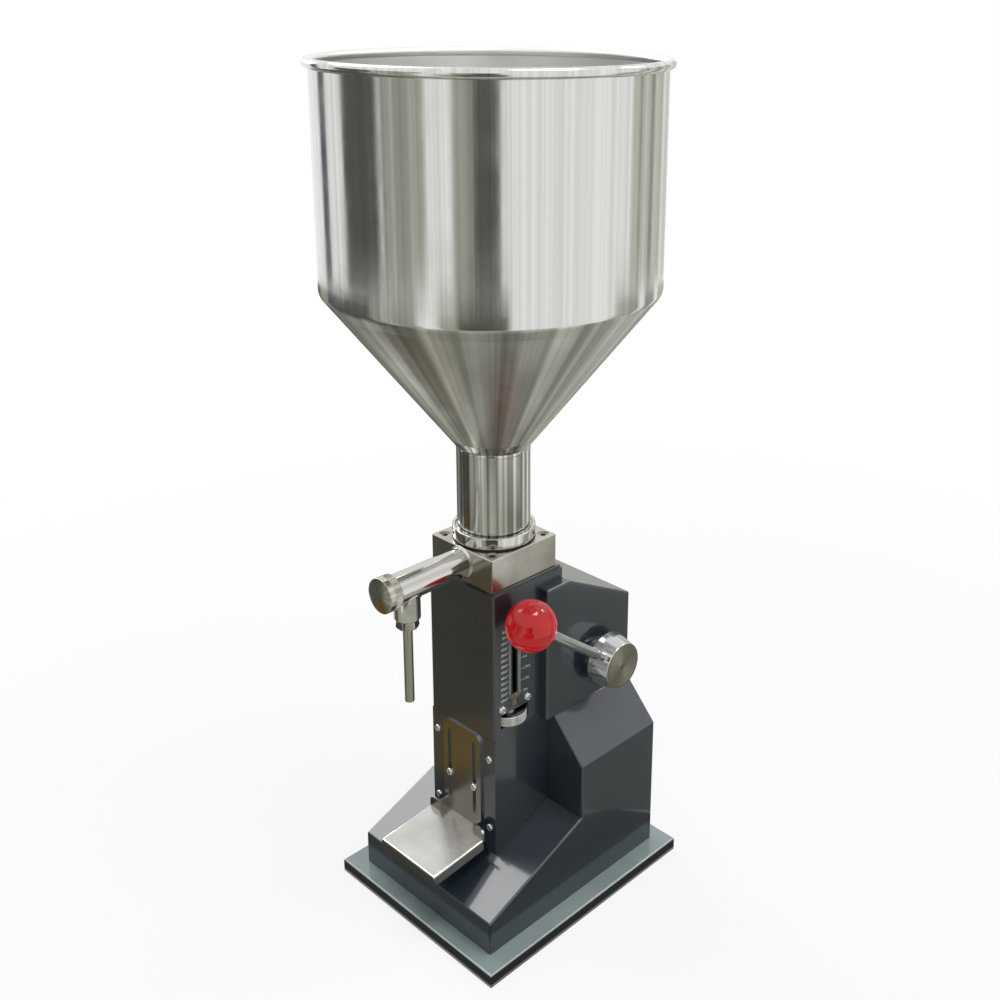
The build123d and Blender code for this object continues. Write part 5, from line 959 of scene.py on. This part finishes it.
class FILLER_OT_dose(bpy.types.Operator):
    """Build the dose screw's thread, the knurled wheel, the pointer and the printed scale"""

    bl_idname = "filler.dose"
    bl_label = "Dose setting"

    def execute(self, context):
        p = context.scene.filler_dose
        foot = (p.screw_x, p.slot_y, 0)
        self.screw(p, foot)
        self.wheel(p, foot)
        add_dressed("dose_pointer_plate", "dose_pointer", "copper", 0.25 * MM)
        add_dressed("stop_nut_block", "stop_nut", "copper", 0.3 * MM)
        self.print_scale(p)
        return {"FINISHED"}

    def screw(self, p, foot):
        """Dose screw: its thread below, and a plain journal above it."""
        low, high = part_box("dose_screw")
        chamfer = 0.6 * MM
        journal_r = 3 * MM
        top = high.z - 5 * MM
        body = straight(p.screw_r, low.z + chamfer, top, int((top - low.z) / p.thread_pitch * 10))
        tip = [[0, low.z], [p.screw_r - chamfer, low.z]]
        outline = np.concatenate([tip, body, [[journal_r, top], [journal_r, high.z], [0, high.z]]])

        def thread(outline, turn):
            """Triangular thread: -d |2 frac(z / pitch - a / turn) - 1| on the screw's body."""
            phase = np.mod(outline[:, 1:] / p.thread_pitch - turn[None, :] / TURN, 1)
            return -p.thread_depth * np.abs(2 * phase - 1) * (outline[:, :1] >= p.screw_r - 1e-9)

        grid = lathe(outline, foot, Z_AXIS, THREAD_STEPS, thread)
        add_turned("dose_screw_threaded", "dose_screw", "machine_steel", [grid], 60.0)

    def wheel(self, p, foot):
        """Dose wheel: a hub and a diamond-knurled rim."""
        bore = p.screw_r + 0.05 * MM
        bevel = 0.7 * MM
        rim_r = p.wheel_r - 1.1 * bevel
        hub_r = p.wheel_hub_r
        wheel = np.concatenate(
            [
                [[bore, p.wheel_hub_low_z], [hub_r, p.wheel_hub_low_z]],
                [[hub_r, p.wheel_low_z], [rim_r, p.wheel_low_z]],
                straight(p.wheel_r, p.wheel_low_z + bevel, p.wheel_top_z - bevel, 28),
                [[rim_r, p.wheel_top_z], [hub_r, p.wheel_top_z]],
                [[hub_r, p.wheel_hub_top_z], [bore, p.wheel_hub_top_z]],
            ]
        )

        def knurl(outline, turn):
            """Diamond knurl: -d min(|sin(n a / 2 + k z)|, |sin(n a / 2 - k z)|) on the rim."""
            climb = outline[:, 1:] * math.pi / (1.3 * MM)
            wave = p.knurls * turn[None, :] / 2
            ridges = np.minimum(np.abs(np.sin(wave + climb)), np.abs(np.sin(wave - climb)))
            return -p.knurl_depth * ridges * (outline[:, :1] >= p.wheel_r - 1e-9)

        grid = lathe(wheel, foot, Z_AXIS, p.knurls * 8, knurl)
        add_turned("dose_wheel_knurled", "dose_wheel", "wheel_chrome", [grid], 40.0)

    def print_scale(self, p):
        """Prints the marks and figures: a millilitre mark every per_ml, a long one every fifth."""
        points = []
        faces = []

        def put(flat, loops, y, z):
            """Places a flat shape with its origin at y, z on the wall: (a, b) becomes (y + a, z + b)."""
            start = sum(len(group) for group in points)
            face_x = np.full(len(flat), p.face_x + p.print_lift)
            points.append(np.stack([face_x, p.slot_y + y + flat[:, 0], z + flat[:, 1]], 1))
            faces.extend([[start + k for k in loop] for loop in loops])

        def line(y_from, y_to, z):
            """One mark from y_from to y_to at height z."""
            half = p.mark / 2
            flat = np.array([(y_from, -half), (y_to, -half), (y_to, half), (y_from, half)])
            put(flat, [[0, 1, 2, 3]], 0, z)

        left = {"near": -4.5 * MM, "short": -6.6 * MM, "long": -8.2 * MM, "figures": -9.0 * MM}
        right = {"near": 4.05 * MM, "short": 7.15 * MM, "long": 9.4 * MM, "figures": 10.5 * MM}
        largest = 60
        for count in range(largest + 1):
            z = p.zero_z - count * p.per_ml
            line(left["long" if count % 5 == 0 else "short"], left["near"], z)
            line(right["near"], right["long" if count % 10 == 0 else "short"], z)
        sample, _ = text_mesh("60ml", 1, 1)
        digit, _ = text_mesh("0", 1, 1)
        size_x = p.label_width / np.ptp(sample[:, 0])
        size_y = p.letter / np.ptp(digit[:, 1])
        ounces = ["0oz", "0.35oz", "0.7oz", "1oz", "1.35oz", "1.7oz", "2oz"]
        for count in range(0, largest + 1, 5):
            z = p.zero_z - count * p.per_ml - p.letter / 2
            flat, loops = text_mesh(f"{count}ml", size_x, size_y)
            put(flat - (flat[:, 0].max(), 0), loops, left["figures"], z)
            if count % 10 == 0:
                flat, loops = text_mesh(ounces[count // 10], size_x * 0.9, size_y * 0.94)
                put(flat - (flat[:, 0].min(), 0), loops, right["figures"], z)
        mesh = bpy.data.meshes.new("dose_scale_print")
        mesh.from_pydata(np.concatenate(points).tolist(), [], faces)
        normals = np.zeros(len(mesh.polygons) * 3)
        mesh.polygons.foreach_get("normal", normals)
        if normals.reshape(-1, 3)[:, 0].sum() < 0:
            mesh.flip_normals()
        mesh.materials.append(looks["print_ink"])
        made = add_object("dose_scale_print", mesh)
        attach(made, node_body["column"])


class FILLER_OT_fasteners(bpy.types.Operator):
    """Build the cross-recess screws of the panel, the tray and the dose bracket"""

    bl_idname = "filler.fasteners"
    bl_label = "Screws"

    def execute(self, context):
        p = context.scene.filler_screws
        face_x = context.scene.filler_dose.face_x
        panel_levels = (p.panel_low_z, p.panel_top_z)
        panel_seats = [(x, p.panel_y, z) for x in (-p.panel_x, p.panel_x) for z in panel_levels]
        dose_seats = [(face_x, y, p.dose_z) for y in (p.dose_low_y, p.dose_top_y)]
        tray_seats = [(x, p.tray_y, p.tray_z) for x in (-p.tray_x, p.tray_x)]
        tray_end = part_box("tray_screws")[1].y
        # Head radius and height, shank radius and length, the first recess's turn and the next ones' step
        panel_size = (3.4 * MM, 2.0 * MM, 1.7 * MM, 7.0 * MM, 0.5, 0.8)
        dose_size = (4.0 * MM, 2.6 * MM, 2.0 * MM, 8.0 * MM, 0.5, 0.8)
        tray_size = (3.4 * MM, 2.4 * MM, 1.9 * MM, tray_end - p.tray_y, 0.308, 0.184)
        for node, seats, axis, (*sizes, twist, step) in (
            ("panel_screws", panel_seats, FRONT_AXIS, panel_size),
            ("dose_screws", dose_seats, X_AXIS, dose_size),
            ("tray_screws", tray_seats, FRONT_AXIS, tray_size),
        ):
            grids = [pan_screw(seat, axis, *sizes, twist + step * k) for k, seat in enumerate(seats)]
            add_turned(node + "_pan", node, "bright_chrome", grids, 40.0)
        return {"FINISHED"}


class FILLER_OT_tray(bpy.types.Operator):
    """Dress the bent bottle tray"""

    bl_idname = "filler.tray"
    bl_label = "Bottle tray"

    def execute(self, context):
        add_dressed("bottle_tray_bent", "bottle_tray", "tray_steel", 0.25 * MM)
        return {"FINISHED"}


class FILLER_OT_insides(bpy.types.Operator):
    """Give every CAD node that stays its material"""

    bl_idname = "filler.insides"
    bl_label = "Carried-over nodes"

    def execute(self, context):
        missing = sorted(set(nodes) - set(node_slot))
        if missing:
            raise RuntimeError(f"no material slot for {missing}")
        for name, held in nodes.items():
            held.data.materials.clear()
            held.data.materials.append(looks[node_slot[name]])
        return {"FINISHED"}


class FILLER_OT_stage(bpy.types.Operator):
    """Set the floor, the studio's lamps and cards, the world and the camera"""

    bl_idname = "filler.stage"
    bl_label = "Stage"

    def execute(self, context):
        p = context.scene.filler_looks
        context.scene.view_settings.view_transform = "Standard"
        self.world(context.scene, p)
        self.floor()
        self.cards(p)
        self.lamps(p)
        self.camera(context.scene, p)
        return {"FINISHED"}

    def camera(self, scene, p):
        """The photograph's camera, back along (sin a cos e, -cos a cos e, sin e), rolled a little."""
        camera = add_object("camera", bpy.data.cameras.new("camera"))
        camera.data.lens = p.lens
        camera.data.sensor_width = 36
        camera.data.shift_x = p.shift_x
        camera.data.shift_y = p.shift_y
        camera.data.clip_start = 10 * MM
        level = math.cos(p.elevation)
        back = Vector((math.sin(p.azimuth) * level, -math.cos(p.azimuth) * level, math.sin(p.elevation)))
        right = (-back).cross(Z_AXIS).normalized()
        up = right.cross(-back)
        rolled_right = math.cos(p.roll) * right + math.sin(p.roll) * up
        rolled_up = math.cos(p.roll) * up - math.sin(p.roll) * right
        turned = Matrix((rolled_right, rolled_up, back)).transposed().to_4x4()
        camera.matrix_world = Matrix.Translation((p.camera_x, p.camera_y, p.camera_z)) @ turned
        scene.camera = camera

    def seen(self, add):
        """1 for the camera's rays and for those that metal or glass sends on, 0 for all others."""
        path = add("LightPath")
        found = path.outputs["Is Camera Ray"]
        for kind in ("Is Glossy Ray", "Is Transmission Ray"):
            found = add("Math", {0: found, 1: path.outputs[kind]}, operation="MAXIMUM")
        return found

    def world(self, scene, p):
        """White for what the camera, metal and glass see; a softer level for diffuse light."""
        world = bpy.data.worlds.new("studio")
        world.use_nodes = True
        scene.world = world
        world.node_tree.nodes.clear()
        add = functools.partial(add_node, world.node_tree)
        soft = add("Background", {"Color": "ffffff", "Strength": p.ambient})
        white = add("Background", {"Color": "ffffff", "Strength": 1.0})
        mix = add("MixShader", {0: self.seen(add), 1: soft, 2: white})
        add("OutputWorld", {"Surface": mix})

    def floor(self):
        """A wide pale floor that keeps the machine's shadow and fades to white away from it."""
        half = 6.0
        mesh = bpy.data.meshes.new("floor")
        corners = [(-half, -half, 0), (half, -half, 0), (half, half, 0), (-half, half, 0)]
        mesh.from_pydata(corners, [], [(0, 1, 2, 3)])
        made, shader, add = new_material("pale_floor")
        place = add("TexCoord").outputs["Object"]
        cloud = add("TexNoise", {"Vector": place, "Scale": 3.0})
        colour = mottle(add, cloud, "eaeaea", "eeeeee")
        set_inputs(shader, {"Base Color": colour, "Roughness": 0.9, "Specular IOR Level": 0.0})
        distance = add("VectorMath", {0: place}, operation="LENGTH")
        near, far = 0.45, 1.3
        span = {"Value": distance, "From Min": near, "From Max": far, "To Min": 0.84, "To Max": 1.0}
        fade = add("MapRange", span, interpolation_type="SMOOTHSTEP")
        share = add("Math", {0: self.seen(add), 1: fade}, operation="MULTIPLY")
        white = add("Emission", {"Color": "ffffff", "Strength": 1.0})
        mix = add("MixShader", {0: share, 1: shader, 2: white})
        set_inputs(made.node_tree.get_output_node("ALL"), {"Surface": mix})
        mesh.materials.append(made)
        add_object("floor", mesh)

    def cards(self, p):
        """Rings of studio cards that only polished metal sees, on the floor and round the room.

        Each ring is (inner radius, outer radius, low, high), and its sectors are (from, to, tone) in
        degrees round the machine from the camera's side.
        """
        tones = {
            "bright": "d8d8d0", "pale": "b9bab0", "grey": "9b9d95", "olive": "abac9f", "shade": "83857c",
            "dark": "5c5c58", "deep": "5c5c56", "slate": "5b5f66", "gold": "6c5a31", "amber": "957d46",
        }
        rings = {
            "foot": (0.09, 0.2, 0.003, 0.003),
            "step": (0.2, 0.3, 0.003, 0.003),
            "near": (0.2, 0.62, 0.002, 0.002),
            "far": (0.62, 2.4, 0.002, 0.002),
            "wall": (2.4, 2.4, 0.02, 1.2),
        }
        sectors = {
            "foot": [(-180, -90, "deep"), (-90, 0, "deep"), (0, 180, "deep")],
            "step": [(-100, -78, "amber")],
            "near": [
                (-180, -150, "deep"), (-150, -138, "dark"), (-138, -110, "bright"), (-110, -98, "slate"),
                (-98, -78, "gold"), (-78, -66, "shade"), (-66, 82, "pale"), (82, 104, "shade"),
                (104, 180, "pale"),
            ],
            "far": [
                (-180, -146, "dark"), (-146, -128, "grey"), (-128, -118, "slate"), (-118, -80, "dark"),
                (-80, -70, "grey"), (-70, -62, "pale"), (-62, -44, "grey"), (-30, -18, "olive"),
                (-18, 14, "deep"), (88, 104, "pale"), (104, 112, "olive"), (120, 134, "grey"),
                (142, 180, "pale"),
            ],
            "wall": [
                (-128, -118, "slate"), (-99, -68, "dark"), (-66, -60, "grey"), (-60, -56, "pale"),
                (-56, -47, "grey"), (-47, -43, "pale"), (-43, -36, "olive"), (-20, -7, "olive"),
                (-7, 9, "deep"), (100, 107, "bright"), (107, 112, "olive"), (112, 121, "bright"),
                (121, 127, "grey"), (127, 136, "bright"), (136, 142, "pale"), (147, 162, "bright"),
            ],
        }
        steps = 8
        for ring, (inner, outer, low, high) in rings.items():
            for k, (start, stop, tone) in enumerate(sectors[ring]):
                turn = p.cards_azimuth + np.radians(np.linspace(start, stop, steps + 1))
                edge = np.stack([np.sin(turn), -np.cos(turn), np.zeros(steps + 1)], 1)
                points = np.concatenate([edge * inner + (0, 0, low), edge * outer + (0, 0, high)])
                faces = [(i, i + 1, i + steps + 2, i + steps + 1) for i in range(steps)]
                self.card(f"card_{ring}_{k}", points.tolist(), faces, tones[tone])

    def card(self, name, points, faces, colour):
        """One card with an even glow, hidden from the camera, diffuse light and shadows."""
        mesh = bpy.data.meshes.new(name)
        mesh.from_pydata(points, [], faces)
        made, glow, _ = new_material(name, "Emission")
        set_inputs(glow, {"Color": colour, "Strength": 1.0})
        mesh.materials.append(made)
        card = add_object(name, mesh)
        card.visible_camera = False
        card.visible_diffuse = False
        card.visible_shadow = False
        card.visible_transmission = False

    def lamps(self, p):
        """Soft lamps in front, on the right, overhead and over the left, and three that the ball shows."""
        aim = Vector((0, 0, 0.3))
        # Name, place, size, power and whether polished metal shows it
        places = [
            ("key_panel", (-1.37, -0.12, 2.2), 1.1, p.key_power, True),
            ("front_lamp", (-0.4, -1.9, 2.0), 1.0, p.front_power, False),
            ("side_lamp", (1.9, 0.2, 1.2), 1.2, p.side_power, False),
            ("top_lamp", (0.25, -0.2, 2.7), 1.4, p.top_power, False),
            ("ceiling_lamp_1", (0.58, 0.26, 2.2), 0.7, 11.0, True),
            ("ceiling_lamp_2", (0.52, 1.78, 2.1), 0.5, 5.5, True),
            ("window_lamp", (-2.05, 0.21, 1.15), 0.55, 8.5, True),
        ]
        for name, place, size, energy, mirrored in places:
            light = bpy.data.lights.new(name, "AREA")
            light.shape = "SQUARE" if name == "key_panel" else "DISK"
            light.size = size
            light.energy = energy
            lamp = add_object(name, light)
            lamp.location = place
            lamp.rotation_euler = (Vector(place) - aim).to_track_quat("Z", "Y").to_euler()
            lamp.visible_glossy = mirrored


class FILLER_PT_panel(bpy.types.Panel):
    """Sidebar panel that lists the filler's operators"""

    bl_label = "Piston filler"
    bl_idname = "FILLER_PT_panel"
    bl_space_type = "VIEW_3D"
    bl_region_type = "UI"
    bl_category = "Filler"

    def draw(self, context):
        for operator in OPERATORS:
            self.layout.operator(operator.bl_idname)


GROUPS = {
    "filler_hopper": FillerHopper,
    "filler_discharge": FillerDischarge,
    "filler_lever": FillerLever,
    "filler_dose": FillerDose,
    "filler_screws": FillerScrews,
    "filler_looks": FillerLooks,
}
OPERATORS = (
    FILLER_OT_paintwork,
    FILLER_OT_hopper,
    FILLER_OT_discharge,
    FILLER_OT_lever,
    FILLER_OT_dose,
    FILLER_OT_fasteners,
    FILLER_OT_tray,
    FILLER_OT_insides,
    FILLER_OT_stage,
)


def register():
    for name, group in GROUPS.items():
        bpy.utils.register_class(group)
        setattr(bpy.types.Scene, name, PointerProperty(type=group))
    for operator in OPERATORS:
        bpy.utils.register_class(operator)
    bpy.utils.register_class(FILLER_PT_panel)


def unregister():
    bpy.utils.unregister_class(FILLER_PT_panel)
    for operator in reversed(OPERATORS):
        bpy.utils.unregister_class(operator)
    for name, group in reversed(GROUPS.items()):
        delattr(bpy.types.Scene, name)
        bpy.utils.unregister_class(group)


def main():
    """Registers the add-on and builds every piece."""
    register()
    make_looks(bpy.context.scene)
    for operator in OPERATORS:
        group, name = operator.bl_idname.split(".")
        result = getattr(getattr(bpy.ops, group), name)()
        if result != {"FINISHED"}:
            raise RuntimeError(f"{operator.bl_idname} did not finish: {result}")


if __name__ == "__main__":
    main()
